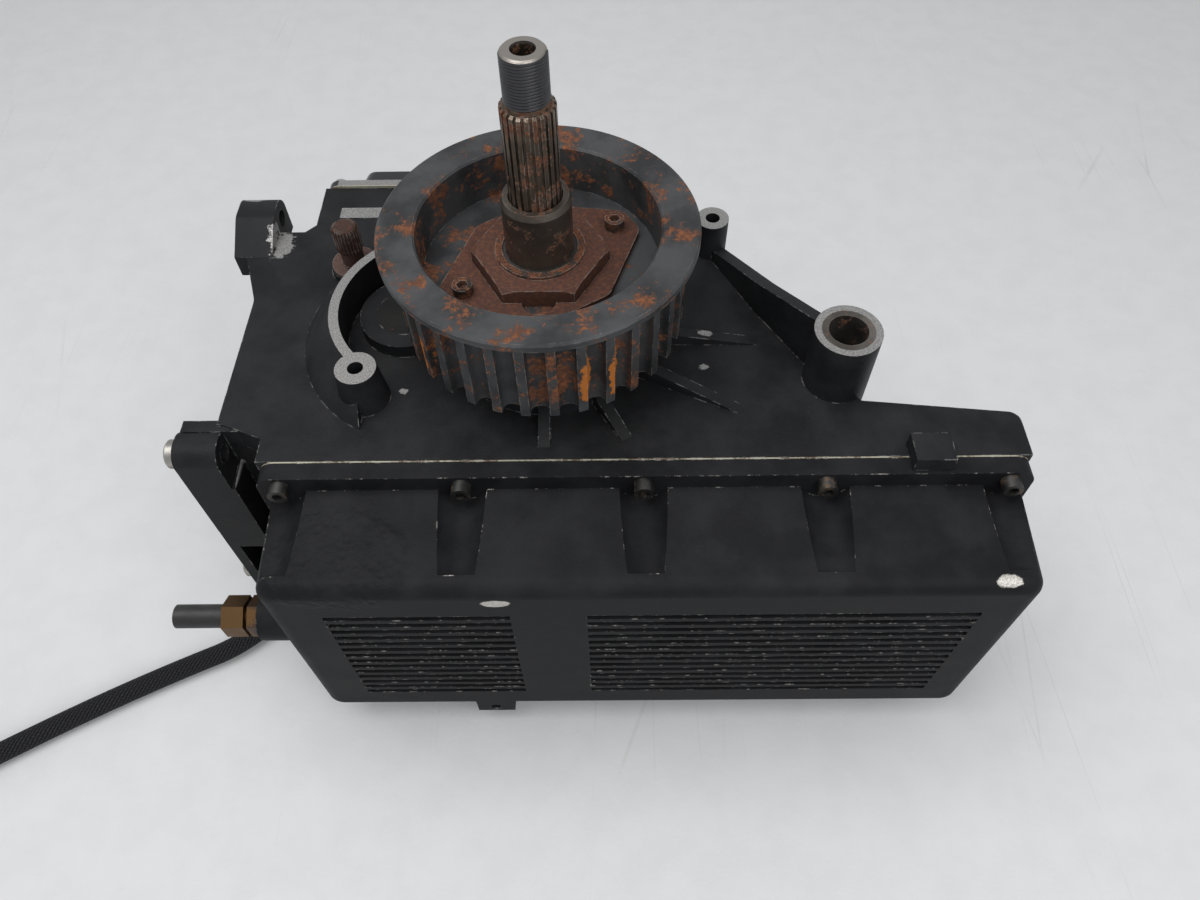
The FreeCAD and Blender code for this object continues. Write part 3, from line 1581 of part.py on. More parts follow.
def make_pan():
    """Make the oil pan: flange, tapered tub with rounded face edge, screw valleys, fins and lug."""
    flange_outline = rectangle(d.pan_front, d.pan_rear, d.pan_right, d.deck, d.pan_corner)
    flange = prism("pan_flange_plate", flange_outline, pan_flange_face, d.pan_flange, plane="XZ")
    mouth, floor = tub(ORIGIN)
    shell = loft("pan_tub", [(mouth, pan_flange_face), (floor, pan_face)])
    document.recompute()
    rounded = document.addObject("Part::Fillet", "pan_rounded")
    rounded.Base = shell
    face_edges = [
        (number, d.tub_edge.number, d.tub_edge.number)
        for number, edge in enumerate(shell.Shape.Edges, start=1)
        if all(abs(vertex.Point.y - pan_face.number) < 0.01 for vertex in edge.Vertexes)
    ]
    rounded.Edges = face_edges
    boss = cylinder(
        "pan_sender_boss",
        d.sender_boss_radius,
        d.sender_boss_out,
        d.pan_front + d.tub_front_inset - d.sender_boss_out + d.pan_wall,
        d.sender_y,
        d.sender_z,
        axis="X",
    )
    low = d.pan_right + d.tub_inset + d.tub_draft
    lug = box(
        "pan_lug",
        (d.lug_x - d.lug_width / 2, pan_face, low - d.lug_drop),
        (d.lug_x + d.lug_width / 2, pan_face + d.lug_length, low + d.pan_wall * 2),
    )
    inner_mouth, inner_floor = tub(d.pan_wall)
    hollow = loft("pan_hollow", [(inner_mouth, pan_joint), (inner_floor, pan_face + d.pan_wall + d.fin_depth)])
    length = d.pan_depth - d.pan_flange - d.valley_stop
    screws = pan_screw_points(pan_flange_face)
    widths = [d.valley_radius] * (len(screws) - 2) + [d.valley_end_radius] * 2
    low_end = pan_flange_face - length
    valleys = [
        cylinder(f"pan_valley_{number}", width, length, x, low_end, z, axis="Y")
        for number, (width, (x, _, z)) in enumerate(zip(widths, screws))
    ]
    outer = fuse("pan_outer", [cut("pan_valleyed", rounded, valleys), flange, boss, lug])
    deep = length + d.pan_flange
    backing = [
        cylinder(f"pan_backing_{number}", width + d.pan_wall, deep, x, low_end, z, axis="Y")
        for number, (width, (x, _, z)) in enumerate(zip(widths, screws))
    ]
    cuts = [cut("pan_cavity", hollow, backing)]
    cuts += drill("cut_pan_hole", d.pan_shank_radius, d.pan_flange, screws, "Y")
    for start, end, side in (
        (d.fin_left_front, d.fin_left_rear, "left"),
        (d.fin_right_front, d.fin_right_rear, "right"),
    ):
        for number in range(int(d.fin_count.number)):
            middle = fin_top - d.fin_pitch * number
            cuts.append(
                box(
                    f"pan_fin_{side}_{number}",
                    (start, pan_face, middle - d.fin_groove / 2),
                    (end, pan_face + d.fin_depth, middle + d.fin_groove / 2),
                )
            )
    cuts.append(
        cylinder("pan_lug_hole", d.pan_shank_radius, d.lug_length, d.lug_x, pan_face, low - d.lug_drop / 3, axis="Y")
    )
    keep("oil_pan", cut("pan", outer, cuts))

    gap = d.tub_inset + d.pan_wall
    window = prism(
        "gasket_window",
        rectangle(d.pan_front + gap, d.pan_rear - gap, d.pan_right + gap, d.deck - gap, d.tub_corner),
        pan_joint,
        d.gasket,
        plane="XZ",
    )
    sheet_blank = prism("pan_gasket_blank", flange_outline, pan_joint, d.gasket, plane="XZ")
    holes = drill("cut_gasket_hole", d.pan_shank_radius, d.gasket, pan_screw_points(pan_joint), "Y")
    keep("pan_gasket", cut("gasket_sheet", sheet_blank, [window] + holes))

    master = socket_screw(
        "pan_screw", d.pan_head_radius, d.pan_head_height, d.pan_shank_radius, d.pan_screw_grip, "Y"
    )
    keep("pan_screws", copies("pan_screw_set", master, pan_screw_points(pan_flange_face)))


def make_sender():
    """Make the oil pressure sender and the brass adapter that carries it in the pan's front wall."""
    start = d.pan_front + d.tub_front_inset - d.sender_boss_out + d.pan_wall
    at = (d.sender_y, d.sender_z)
    adapter = hexagon("adapter_hexagon", d.adapter_flats, d.adapter_length, start - d.adapter_length, *at, axis="X")
    keep("sender_adapter", adapter)
    hex_start = start - d.adapter_length - d.sender_neck - d.sender_hex
    body_start = hex_start - d.sender_body
    parts = [
        hexagon("sender_hexagon", d.sender_flats, d.sender_hex, hex_start, *at, axis="X"),
        cylinder("sender_neck_ring", d.sender_body_radius, d.sender_neck, start - d.adapter_length - d.sender_neck, *at, axis="X"),
        cylinder("sender_shell", d.sender_body_radius, d.sender_body, body_start, *at, axis="X"),
        box(
            "sender_latch",
            (body_start + d.sender_neck, d.sender_y - d.sender_neck, d.sender_z - d.sender_body_radius - d.sender_neck),
            (body_start + d.sender_neck * 4, d.sender_y + d.sender_neck, d.sender_z - d.sender_body_radius / 2),
        ),
    ]
    socket = cylinder(
        "sender_socket", d.sender_body_radius - d.end_chamfer * 1.5, d.sender_hex, body_start, *at, axis="X"
    )
    keep("oil_sender", cut("sender", fuse("sender_solid", parts), [socket]))


# Right side


def make_housing():
    """Make the bearing housing that closes the case's right side, its gasket and its screws."""
    outline = housing_outline()
    plate = prism("housing_plate", outline, cover_face, d.housing_flange)
    rise = d.right_bearing_width
    hubs = [
        cylinder("housing_main_hub", d.housing_hub, rise, 0, 0, cover_face),
        cylinder("housing_counter_hub", d.housing_hub, rise, d.counter_x, d.counter_y, cover_face),
    ]
    bores = [
        cylinder("housing_main_bore", d.right_bearing_outer, rise, 0, 0, cover_face),
        cylinder("housing_counter_bore", d.right_bearing_outer, rise, d.counter_x, d.counter_y, cover_face),
        cylinder("housing_drum_bore", d.drum_shaft, rise, d.drum_x, d.drum_y, cover_face),
        cylinder("housing_fork_bore", d.fork_shaft_radius, rise, d.fork_shaft_x, d.fork_shaft_y, cover_face),
    ]
    bores += drill("housing_hole", d.housing_screw_shank, d.housing_flange, housing_screw_points(cover_face), "Z")
    bores += drill("housing_tap", d.pan_shank_radius, d.housing_flange, cover_screw_points(cover_face), "Z")
    keep("bearing_housing", cut("housing", fuse("housing_solid", [plate] + hubs), bores))

    sheet_blank = prism("housing_gasket_blank", outline, housing_top, d.gasket)
    window = prism("housing_gasket_window", cavity_outline(), housing_top, d.gasket)
    holes = drill("housing_gasket_hole", d.housing_screw_shank, d.gasket, housing_screw_points(housing_top), "Z")
    gasket_sheet = cut("housing_gasket_sheet", sheet_blank, [window] + holes)
    master = socket_screw(
        "housing_screw",
        d.housing_screw_head,
        d.housing_screw_height,
        d.housing_screw_shank,
        d.housing_flange + d.gasket + d.screw_bite,
        "Z",
    )
    keep("housing_screws", copies("housing_screw_set", master, housing_screw_points(cover_face)))
    return gasket_sheet


def cover_outline(inset):
    """Return the side cover's outline, moved in by an inset."""
    radius = d.cover_corner - inset
    return [
        (d.cover_front + inset, d.cover_bottom + inset, radius),
        (d.cover_rear - inset, d.cover_bottom + inset, radius),
        (d.cover_rear - inset, d.cover_top - inset, radius),
        (d.cover_front + inset, d.cover_top - inset, radius),
    ]


def make_side_cover(housing_gasket):
    """Make the side cover on which the part rests, with the right side's gaskets, screws and plug."""
    body = prism("cover_block", cover_outline(ORIGIN), 0, d.cover_depth)
    document.recompute()
    rounded = document.addObject("Part::Fillet", "cover_rounded")
    rounded.Base = body
    rounded.Edges = [
        (number, d.cover_edge.number, d.cover_edge.number)
        for number, edge in enumerate(body.Shape.Edges, start=1)
        if all(abs(vertex.Point.z) < 0.01 for vertex in edge.Vertexes)
    ]
    floor = d.cover_wall
    cavity = cylinder("cover_cavity_main", d.cover_cavity, d.cover_depth - floor, 0, 0, floor)
    pocket = cylinder(
        "cover_cavity_counter",
        d.counter_pocket,
        d.cover_depth - d.counter_pocket_floor,
        d.counter_x,
        d.counter_y,
        d.counter_pocket_floor,
    )
    ferrule_start = d.cover_front
    cable_way = cylinder(
        "cover_cable_way",
        d.cable_radius / 2,
        -d.cover_front,
        ferrule_start,
        d.ferrule_y,
        d.ferrule_z,
        axis="X",
    )
    heads = drill(
        "cover_head_pocket", d.pan_head_radius + d.gasket, d.cover_depth - d.housing_flange, cover_screw_points(0), "Z"
    )
    shanks = drill("cover_hole", d.pan_shank_radius, d.cover_depth, cover_screw_points(0), "Z")
    plug_hole = cylinder("cover_plug_hole", d.plug_radius * 0.7, d.cover_depth, d.plug_x, d.plug_y, 0)
    shell = cut("cover_shell", rounded, [cavity, pocket, cable_way, plug_hole] + heads + shanks)
    pilot = cylinder("cover_pilot", d.pilot_radius, d.pilot_top - floor / 2, 0, 0, floor / 2)
    keep("side_cover", fuse("cover", [shell, pilot]))

    sheet_blank = prism("cover_gasket_blank", cover_outline(ORIGIN), d.cover_depth, d.gasket)
    window = cylinder("cover_gasket_window", d.cover_cavity, d.gasket, 0, 0, d.cover_depth)
    other = cylinder("cover_gasket_other", d.counter_pocket, d.gasket, d.counter_x, d.counter_y, d.cover_depth)
    plug_window = cylinder("cover_gasket_plug", d.plug_radius * 0.7, d.gasket, d.plug_x, d.plug_y, d.cover_depth)
    holes = drill("cover_gasket_hole", d.pan_shank_radius, d.gasket, cover_screw_points(d.cover_depth), "Z")
    cover_gasket = cut("cover_gasket", sheet_blank, [window, other, plug_window] + holes)
    keep("right_side_gaskets", group("side_gaskets", [housing_gasket, cover_gasket]))
    seat = d.cover_depth - d.housing_flange
    grip = d.housing_flange * 2 + d.gasket
    master = socket_screw("cover_screw", d.pan_head_radius, d.pan_head_height, d.pan_shank_radius, grip, "Z")
    keep("side_cover_screws", copies("cover_screw_set", master, cover_screw_points(seat)))

    profile = [
        (0, d.gasket),
        (d.plug_radius * 0.5, d.gasket),
        (d.plug_radius * 0.5, d.plug_height),
        (d.plug_radius * 0.7, d.plug_height),
        (d.plug_radius * 0.7, d.cover_depth - d.plug_height),
        (0, d.cover_depth - d.plug_height),
    ]
    keep("filler_plug", turned("plug", profile, d.plug_x, d.plug_y))
    lip = d.cable_radius
    start = d.cover_front - d.ferrule_length
    profile = [
        (0, 0),
        (lip, 0),
        (d.ferrule_radius, d.ferrule_length / 3),
        (d.ferrule_radius, d.ferrule_length),
        (0, d.ferrule_length),
    ]
    keep("cable_ferrule", turned("ferrule", profile, start, d.ferrule_y, d.ferrule_z, axis="X"))


def make_release():
    """Make the clutch release: turning ramp, balls, sliding ramp, throw-out bearing and rod."""
    bore = d.pilot_radius + d.running_gap
    lever = place(
        prism(
            "ramp_lever_arm",
            rectangle(d.pilot_radius * 2, d.ramp_lever, -d.ramp_lever_width / 2, d.ramp_lever_width / 2, d.ramp_thick / 2),
            0,
            d.ramp_thick,
        ),
        z=d.ramp_low,
        angle=d.ramp_lever_angle,
    )
    disc = ring("ramp_disc", bore, d.ramp_radius, d.ramp_thick, z=d.ramp_low)
    slider_low = d.ramp_low + d.ramp_thick + d.ramp_gap
    ball_level = slider_low - d.ball_radius - d.running_gap
    pockets = []
    low_balls = []
    for number in range(3):
        x = along(d.ball_circle, 120 * number, "cos")
        y = along(d.ball_circle, 120 * number, "sin")
        reach = d.ball_radius + d.running_gap
        pockets.append(cylinder(f"ramp_pocket_{number}", reach, d.ramp_thick, x, y, ball_level - reach))
        low_balls.append(ball(f"ramp_ball_{number}", d.ball_radius, x, y, ball_level))
    ramp = cut("ramp", fuse("ramp_solid", [disc, lever]), pockets)
    keep("release_ramp", group("ramp_and_balls", [ramp] + low_balls))
    slider = ring("slider_disc", bore, d.ramp_radius - d.end_chamfer, d.ramp_thick, z=slider_low)
    keep("sliding_ramp", slider)
    bearing_low = slider_low + d.ramp_thick
    keep(
        "throwout_bearing",
        ring("throwout", d.rod_radius, d.throwout_radius, d.throwout_height, z=bearing_low),
    )
    keep("release_rod", cylinder("rod", d.rod_radius, rod_top - bearing_low, 0, 0, bearing_low))


# Top cover and shifting


def make_top_cover():
    """Make the raised top cover, its gasket, screws and the neutral switch."""
    outline = rectangle(d.lid_front, d.lid_rear, d.lid_right, lid_left, d.lid_corner)
    flange = prism("lid_flange_plate", outline, lid_joint, d.lid_flange, plane="XZ")
    inset = d.lid_inset - d.lid_wall
    slope = inset + d.lid_slope
    foot = rectangle(d.lid_front + inset, d.lid_rear - inset, d.lid_right + inset, lid_left - inset, d.lid_corner)
    crown = rectangle(d.lid_front + slope, d.lid_rear - slope, d.lid_right + slope, lid_left - slope, d.lid_corner)
    dome = loft("lid_dome", [(foot, lid_joint + d.lid_flange / 2), (crown, lid_joint + d.lid_flange + d.lid_rise)])
    hollow_in = d.lid_inset
    hollow_slope = hollow_in + d.lid_slope
    hollow_foot = rectangle(
        d.lid_front + hollow_in, d.lid_rear - hollow_in, d.lid_right + hollow_in, lid_left - hollow_in, d.lid_corner
    )
    hollow_crown = rectangle(
        d.lid_front + hollow_slope,
        d.lid_rear - hollow_slope,
        d.lid_right + hollow_slope,
        lid_left - hollow_slope,
        d.lid_corner,
    )
    hollow = loft(
        "lid_hollow", [(hollow_foot, lid_joint), (hollow_crown, lid_joint + d.lid_flange + d.lid_rise - d.lid_wall)]
    )
    switch_x = (d.lid_front + d.lid_rear) / 2
    switch_z = (d.lid_right + lid_left) / 2
    crown_level = lid_joint + d.lid_flange + d.lid_rise
    holes = drill("lid_hole", d.pan_shank_radius, d.lid_flange, lid_screw_points(lid_joint), "Y")
    holes.append(
        cylinder(
            "lid_switch_hole",
            d.switch_radius / 2,
            d.lid_wall,
            switch_x,
            crown_level - d.lid_wall,
            switch_z,
            axis="Y",
        )
    )
    keep("top_cover", cut("lid", fuse("lid_solid", [flange, dome]), [hollow] + holes))
    window = prism("lid_gasket_window", hollow_foot, d.case_top, d.gasket, plane="XZ")
    blank = prism("lid_gasket_blank", outline, d.case_top, d.gasket, plane="XZ")
    gasket_holes = drill("lid_gasket_hole", d.pan_shank_radius, d.gasket, lid_screw_points(d.case_top), "Y")
    keep("top_cover_gasket", cut("lid_gasket", blank, [window] + gasket_holes))
    master = socket_screw(
        "lid_screw",
        d.lid_head_radius,
        d.lid_head_height,
        d.pan_shank_radius,
        d.lid_flange + d.gasket + d.screw_bite / 2,
        "Y",
        head_first=True,
    )
    keep("top_cover_screws", copies("lid_screw_set", master, lid_screw_points(lid_joint + d.lid_flange)))
    profile = [
        (0, -d.lid_wall),
        (d.switch_radius / 2, -d.lid_wall),
        (d.switch_radius / 2, 0),
        (d.switch_radius, 0),
        (d.switch_radius, d.switch_height / 2),
        (d.switch_radius / 3, d.switch_height),
        (0, d.switch_height),
    ]
    keep("neutral_switch", turned("switch", profile, switch_x, crown_level, switch_z, axis="Y"))


def fork(name, collar_low, on_counter):
    """Make one shift fork: a C round a gear's collar, an arm, a boss on the rail and a drum pin."""
    side = (d.collar_height - d.collar_groove) / 2
    low = collar_low + side + (d.collar_groove - d.fork_thick) / 2
    x, y = (d.counter_x, d.counter_y) if on_counter else (ORIGIN, ORIGIN)
    shaft = d.counter_radius if on_counter else d.main_radius
    inner = shaft + d.collar_rim - d.collar_groove_depth + d.gasket / 2
    outer = inner + d.fork_rim
    across = d.fork_shaft_x - x
    up = d.fork_shaft_y - y
    angle = math.degrees(math.atan2(up.number, across.number))
    reach = math.hypot(up.number, across.number)
    arm = formed(
        name + "_arm",
        Part.makeBox(reach, d.fork_boss.number, d.fork_thick.number, Vector(0, -d.fork_boss.number / 2, 0)),
        x,
        y,
        low,
        angle=angle,
    )
    body = fuse(
        name + "_solid",
        [
            cylinder(name + "_yoke", outer, d.fork_thick, x, y, low),
            arm,
            cylinder(name + "_boss", d.fork_boss, d.fork_thick * 2, d.fork_shaft_x, d.fork_shaft_y, low),
        ],
    )
    mouth = formed(
        name + "_mouth",
        Part.makeBox(outer.number * 2, inner.number * 2, d.fork_thick.number, Vector(-outer.number * 2, -inner.number, 0)),
        x,
        y,
        low,
        angle=angle,
    )
    bores = [
        cylinder(name + "_throat", inner, d.fork_thick, x, y, low),
        cylinder(name + "_bore", d.fork_shaft_radius, d.fork_thick * 2, d.fork_shaft_x, d.fork_shaft_y, low),
        mouth,
    ]
    yoke = cut(name + "_yoked", body, bores)
    pin_angle = math.degrees(
        math.atan2(d.drum_y.number - d.fork_shaft_y.number, d.drum_x.number - d.fork_shaft_x.number)
    )
    gap = math.hypot(d.drum_y.number - d.fork_shaft_y.number, d.drum_x.number - d.fork_shaft_x.number)
    floor = d.drum_radius.number - d.drum_track_depth.number + d.gasket.number
    length = gap - floor - d.fork_shaft_radius.number - d.end_chamfer.number
    start = Vector(d.fork_shaft_radius.number + d.end_chamfer.number, 0, d.fork_thick.number)
    pin = Part.makeCylinder(d.fork_pin.number, length, start, Vector(1, 0, 0))
    follower = formed(name + "_pin", pin, d.fork_shaft_x, d.fork_shaft_y, low, angle=pin_angle)
    return fuse(name, [yoke, follower])


def make_shifting():
    """Make the shift drum, fork rail, the three forks and the shift shaft with its arm."""
    levels = {
        "left": pair_2 - d.collar_height,
        "middle": pair_3 - d.collar_height,
        "right": pair_1 - d.collar_height,
    }
    forks = {name: fork(f"fork_{name}", level, name == "middle") for name, level in levels.items()}
    keep("mainshaft_shift_forks", group("main_forks", [forks["left"], forks["right"]]))
    keep("countershaft_shift_fork", forks["middle"])
    low = cover_face
    rail_top = chamber_top
    keep(
        "fork_shaft",
        cylinder("fork_rail", d.fork_shaft_radius, rail_top - low, d.fork_shaft_x, d.fork_shaft_y, low),
    )
    drum_low = pair_4
    drum_top = gear_top
    tracks = []
    side = (d.collar_height - d.collar_groove) / 2
    for name, level in levels.items():
        middle = level + side + (d.collar_groove - d.fork_thick) / 2 + d.fork_thick
        track = d.drum_track / 2
        tracks.append(
            ring(
                f"drum_track_{name}",
                d.drum_radius - d.drum_track_depth,
                d.drum_radius + d.end_chamfer,
                d.drum_track,
                d.drum_x,
                d.drum_y,
                middle - track,
            )
        )
    drum = fuse(
        "drum_solid",
        [
            cylinder("drum_barrel", d.drum_radius, drum_top - drum_low, d.drum_x, d.drum_y, drum_low),
            cylinder("drum_journal", d.drum_shaft, rail_top - low, d.drum_x, d.drum_y, low),
        ],
    )
    keep("shift_drum", cut("drum", drum, tracks))

    edge = d.end_chamfer
    length = shift_top - shift_low
    journal = d.deck + d.shift_boss_rise + d.shift_washer_thick + edge - shift_low
    profile = [
        (0, 0),
        (d.shift_journal, 0),
        (d.shift_journal, journal),
        (d.shift_radius, journal),
        (d.shift_radius, length - edge),
        (d.shift_radius - edge, length),
        (0, length),
    ]
    shaft = turned("shift_spindle", profile, d.shift_x, d.shift_y, shift_low)
    arm = place(
        prism(
            "shift_arm_plate",
            rectangle(0, d.shift_arm_length, -d.shift_radius, d.shift_radius, d.shift_radius / 2),
            0,
            d.shift_arm_thick,
        ),
        d.shift_x,
        d.shift_y,
        shift_arm_low,
        angle=d.shift_arm_angle,
    )
    keep("shift_shaft", fuse("shift_lever", [shaft, arm]))
    washer = ring(
        "washer",
        d.shift_journal + d.running_gap,
        d.shift_washer_radius,
        d.shift_washer_thick,
        d.shift_x,
        d.shift_y,
        d.deck + d.shift_boss_rise,
    )
    keep("shift_shaft_washer", washer)


# Clutch cable


def cable_route():
    """Return the points of the cable from the ferrule to the coil, in millimetres."""
    rest = SIZES["cable_radius"] + SIZES["joint_gap"]
    start = SIZES["cover_front"] - SIZES["ferrule_length"] - 9 * SIZES["joint_gap"]
    return [
        Vector(start, SIZES["ferrule_y"], SIZES["ferrule_z"]),
        Vector(-166, -50, 13),
        Vector(-200, -91, rest + 1),
        Vector(-243, -110, rest),
        Vector(-288, -133, rest),
        Vector(-339, -162, rest),
        Vector(-386, -190.5, rest),
    ]


def bent_tube(points, radius):
    """Sweep a round section along straight runs joined by tangent arcs, and print each arc's radius."""
    edges = []
    last = points[0]
    for before, point, after in zip(points, points[1:], points[2:]):
        back = before - point
        ahead = after - point
        turn = math.pi - back.getAngle(ahead)
        reach = 0.45 * min(back.Length, ahead.Length)
        start = point + back.normalize() * reach
        end = point + ahead.normalize() * reach
        bend = reach / math.tan(turn / 2)
        print(f"cable bend radius {bend:.0f}")
        centre = point + (back + ahead).normalize() * (bend / math.cos(turn / 2))
        middle = centre + (point - centre).normalize() * bend
        edges.append(Part.LineSegment(last, start).toShape())
        edges.append(Part.Arc(start, middle, end).toShape())
        last = end
    edges.append(Part.LineSegment(last, points[-1]).toShape())
    path = Part.Wire(edges)
    section = Part.Wire(Part.Circle(points[0], points[1] - points[0], radius).toShape())
    tube = path.makePipeShell([section], True, False)
    expected = math.pi * radius * radius * path.Length
    print(f"cable length {path.Length:.0f}, volume ratio {tube.Volume / expected:.4f}")
    return tube


def make_cable():
    """Make the cable's free stretch, its coil and the fitting on its end."""
    radius = SIZES["cable_radius"]
    keep("clutch_cable", formed("cable", bent_tube(cable_route(), radius)))
    spread = d.cable_radius * d.coil_turns
    keep(
        "clutch_cable_coil",
        ring(
            "coil",
            d.coil_radius - spread,
            d.coil_radius + spread,
            d.cable_radius * 2,
            d.coil_x,
            d.coil_y,
            d.joint_gap,
        ),
    )
    x = d.coil_x - (d.coil_radius - spread) * 0.91 + d.joint_gap
    profile = [
        (0, 0),
        (d.fitting_radius, 0),
        (d.fitting_radius, d.fitting_length * 0.7),
        (d.fitting_barrel, d.fitting_length * 0.7),
        (d.fitting_barrel, d.fitting_length),
        (0, d.fitting_length),
    ]
    keep(
        "cable_end_fitting",
        turned(
            "fitting",
            profile,
            x + d.fitting_radius,
            d.coil_y - d.fitting_length / 2,
            d.fitting_radius + d.joint_gap,
            axis="Y",
        ),
    )


def write_parts():
    """Check every object and every sub-part, then write one STEP file for each sub-part."""
    document.recompute()
    for item in document.Objects:
        if "Invalid" in item.State or "Error" in item.State:
            raise ValueError(f"{item.Name} failed: {item.State}")
    for name, item in outputs:
        if item.Shape.isNull() or not item.Shape.isValid():
            raise ValueError(f"{name} has no valid shape")
    os.makedirs("parts", exist_ok=True)
    for name, item in outputs:
        item.Shape.exportStep(f"parts/{name}.step")
    print(f"{len(outputs)} parts written")


def main():
    """Build every sub-assembly in turn and write the parts."""
    make_case()
    make_case_fittings()
    make_pan()
    make_sender()
    make_side_cover(make_housing())
    make_bearings()
    make_gears()
    make_mainshaft()
    make_countershaft()
    make_drive_gear()
    make_pulley()
    make_shifting()
    make_release()
    make_top_cover()
    make_cable()
    write_parts()


main()
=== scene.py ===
import json
import logging
import math
from dataclasses import dataclass
from enum import Enum
from typing import Callable, Iterable, Sequence

import bmesh
import bpy
from mathutils import Matrix, Vector


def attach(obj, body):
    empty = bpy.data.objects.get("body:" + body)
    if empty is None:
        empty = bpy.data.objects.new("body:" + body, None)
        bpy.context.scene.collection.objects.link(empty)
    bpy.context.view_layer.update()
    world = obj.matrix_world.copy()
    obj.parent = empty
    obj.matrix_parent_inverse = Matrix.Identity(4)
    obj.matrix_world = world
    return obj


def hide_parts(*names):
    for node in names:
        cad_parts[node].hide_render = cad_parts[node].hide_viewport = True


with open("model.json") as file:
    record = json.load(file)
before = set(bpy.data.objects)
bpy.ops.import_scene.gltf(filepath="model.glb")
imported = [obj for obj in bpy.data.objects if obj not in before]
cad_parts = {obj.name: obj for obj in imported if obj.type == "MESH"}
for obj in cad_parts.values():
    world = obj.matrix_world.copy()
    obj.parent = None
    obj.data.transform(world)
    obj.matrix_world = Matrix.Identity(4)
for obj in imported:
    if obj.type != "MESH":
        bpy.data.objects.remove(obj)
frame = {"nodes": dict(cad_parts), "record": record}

LOG = logging.getLogger("transmission")
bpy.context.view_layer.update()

Colour = tuple[float, float, float]
Point = tuple[float, float, float]
OPAQUE = 1.0
ORIGIN: Point = (0.0, 0.0, 0.0)


class Body(str, Enum):
    """The rigid bodies of the frame that the extra pieces ride on."""

    CASE = "case"
    INPUT = "input"
    SHIFTER = "shifter"


class Effect(str, Enum):
    """The shared shader effects, each a node group that is built once."""

    GRAIN = "casting_grain"
    WEAR = "edge_wear"
    DUST = "settled_dust"
    RUST = "rust_bloom"
    LATHE = "lathe_marks"
    SPOT = "worn_spot"
    FACE = "machined_face"
    BRAID = "sleeve_braid"
    SCRATCH = "table_scratches"


# Shader building


class Wiring:
    """Adds and joins shader nodes in one node tree."""

    def __init__(self, tree: bpy.types.NodeTree) -> None:
        """Start with an existing tree.

        Args:
            tree: the material's or the group's node tree.
        """
        self.tree = tree

    def node(self, kind: str, **settings: object) -> bpy.types.Node:
        """Add one node.

        Args:
            kind: the node's Blender type name.
            settings: attributes to set on the node.

        Returns:
            The new node.
        """
        made = self.tree.nodes.new(kind)
        for name, value in settings.items():
            setattr(made, name, value)
        return made

    def feed(self, socket: bpy.types.NodeSocket, value: object) -> None:
        """Join a socket to an input, or set the input's own value.

        Args:
            socket: the input.
            value: a socket, a number, a vector or a colour of three parts.
        """
        if isinstance(value, bpy.types.NodeSocket):
            self.tree.links.new(value, socket)
        elif socket.type == "RGBA":
            socket.default_value = (*value, OPAQUE)
        else:
            socket.default_value = value

    def place(self) -> bpy.types.NodeSocket:
        """Return the point's place on the object, in metres."""
        return self.node("ShaderNodeTexCoord").outputs["Object"]

    def split(self, vector: bpy.types.NodeSocket) -> tuple[bpy.types.NodeSocket, ...]:
        """Take a vector apart.

        Args:
            vector: the vector's socket.

        Returns:
            The sockets of its three components.
        """
        parts = self.node("ShaderNodeSeparateXYZ")
        self.feed(parts.inputs[0], vector)
        return tuple(parts.outputs)

    def calc(self, operation: str, first: object, second: object = 0.0) -> bpy.types.NodeSocket:
        """Add a Math node.

        Args:
            operation: the Math node's operation.
            first: the first socket or number.
            second: the second socket or number.

        Returns:
            The result's socket.
        """
        made = self.node("ShaderNodeMath", operation=operation)
        self.feed(made.inputs[0], first)
        self.feed(made.inputs[1], second)
        return made.outputs[0]

    def noise(
        self, vector: object, scale: object, detail: float, rough: float
    ) -> bpy.types.NodeSocket:
        """Add a noise texture.

        Args:
            vector: the place to read the noise at.
            scale: cells for each metre.
            detail: the number of octaves.
            rough: how much the finer octaves count.

        Returns:
            The noise's value, about 0.3 to 0.7.
        """
        made = self.node("ShaderNodeTexNoise")
        self.feed(made.inputs["Vector"], vector)
        self.feed(made.inputs["Scale"], scale)
        made.inputs["Detail"].default_value = detail
        made.inputs["Roughness"].default_value = rough
        return made.outputs["Fac"]

    def remap(
        self, value: object, low: object, high: object, start: object = 0.0, end: object = 1.0
    ) -> bpy.types.NodeSocket:
        """Map a range smoothly to another.

        Args:
            value: the value to map.
            low: the value that gives start.
            high: the value that gives end.
            start: the first result.
            end: the last result.

        Returns:
            The mapped value's socket.
        """
        made = self.node("ShaderNodeMapRange", interpolation_type="SMOOTHSTEP")
        names = ("Value", "From Min", "From Max", "To Min", "To Max")
        for name, given in zip(names, (value, low, high, start, end)):
            self.feed(made.inputs[name], given)
        return made.outputs["Result"]

    def blend(self, mask: object, first: object, second: object) -> bpy.types.NodeSocket:
        """Mix two colours.

        Args:
            mask: 0 gives the first colour, and 1 the second.
            first: a colour, or a socket.
            second: a colour, or a socket.

        Returns:
            The mixed colour's socket.
        """
        made = self.node("ShaderNodeMix", data_type="RGBA")
        self.feed(made.inputs["Factor"], mask)
        self.feed(made.inputs["A"], first)
        self.feed(made.inputs["B"], second)
        return made.outputs["Result"]

    def use(self, effect: Effect, **values: object) -> bpy.types.Node:
        """Place a shared effect in this tree with its own values.

        Args:
            effect: the effect to place.
            values: the group's inputs by name, with _ for a space.

        Returns:
            The group's node.
        """
        made = self.node("ShaderNodeGroup", node_tree=EffectShelf.get(effect))
        for name, value in values.items():
            self.feed(made.inputs[name.replace("_", " ")], value)
        return made


@dataclass
class EffectRecipe:
    """The sockets of a shared effect and the function that wires it."""

    inputs: dict[str, object]
    outputs: Sequence[str]
    wire: Callable[[Wiring, bpy.types.Node, bpy.types.Node], None]


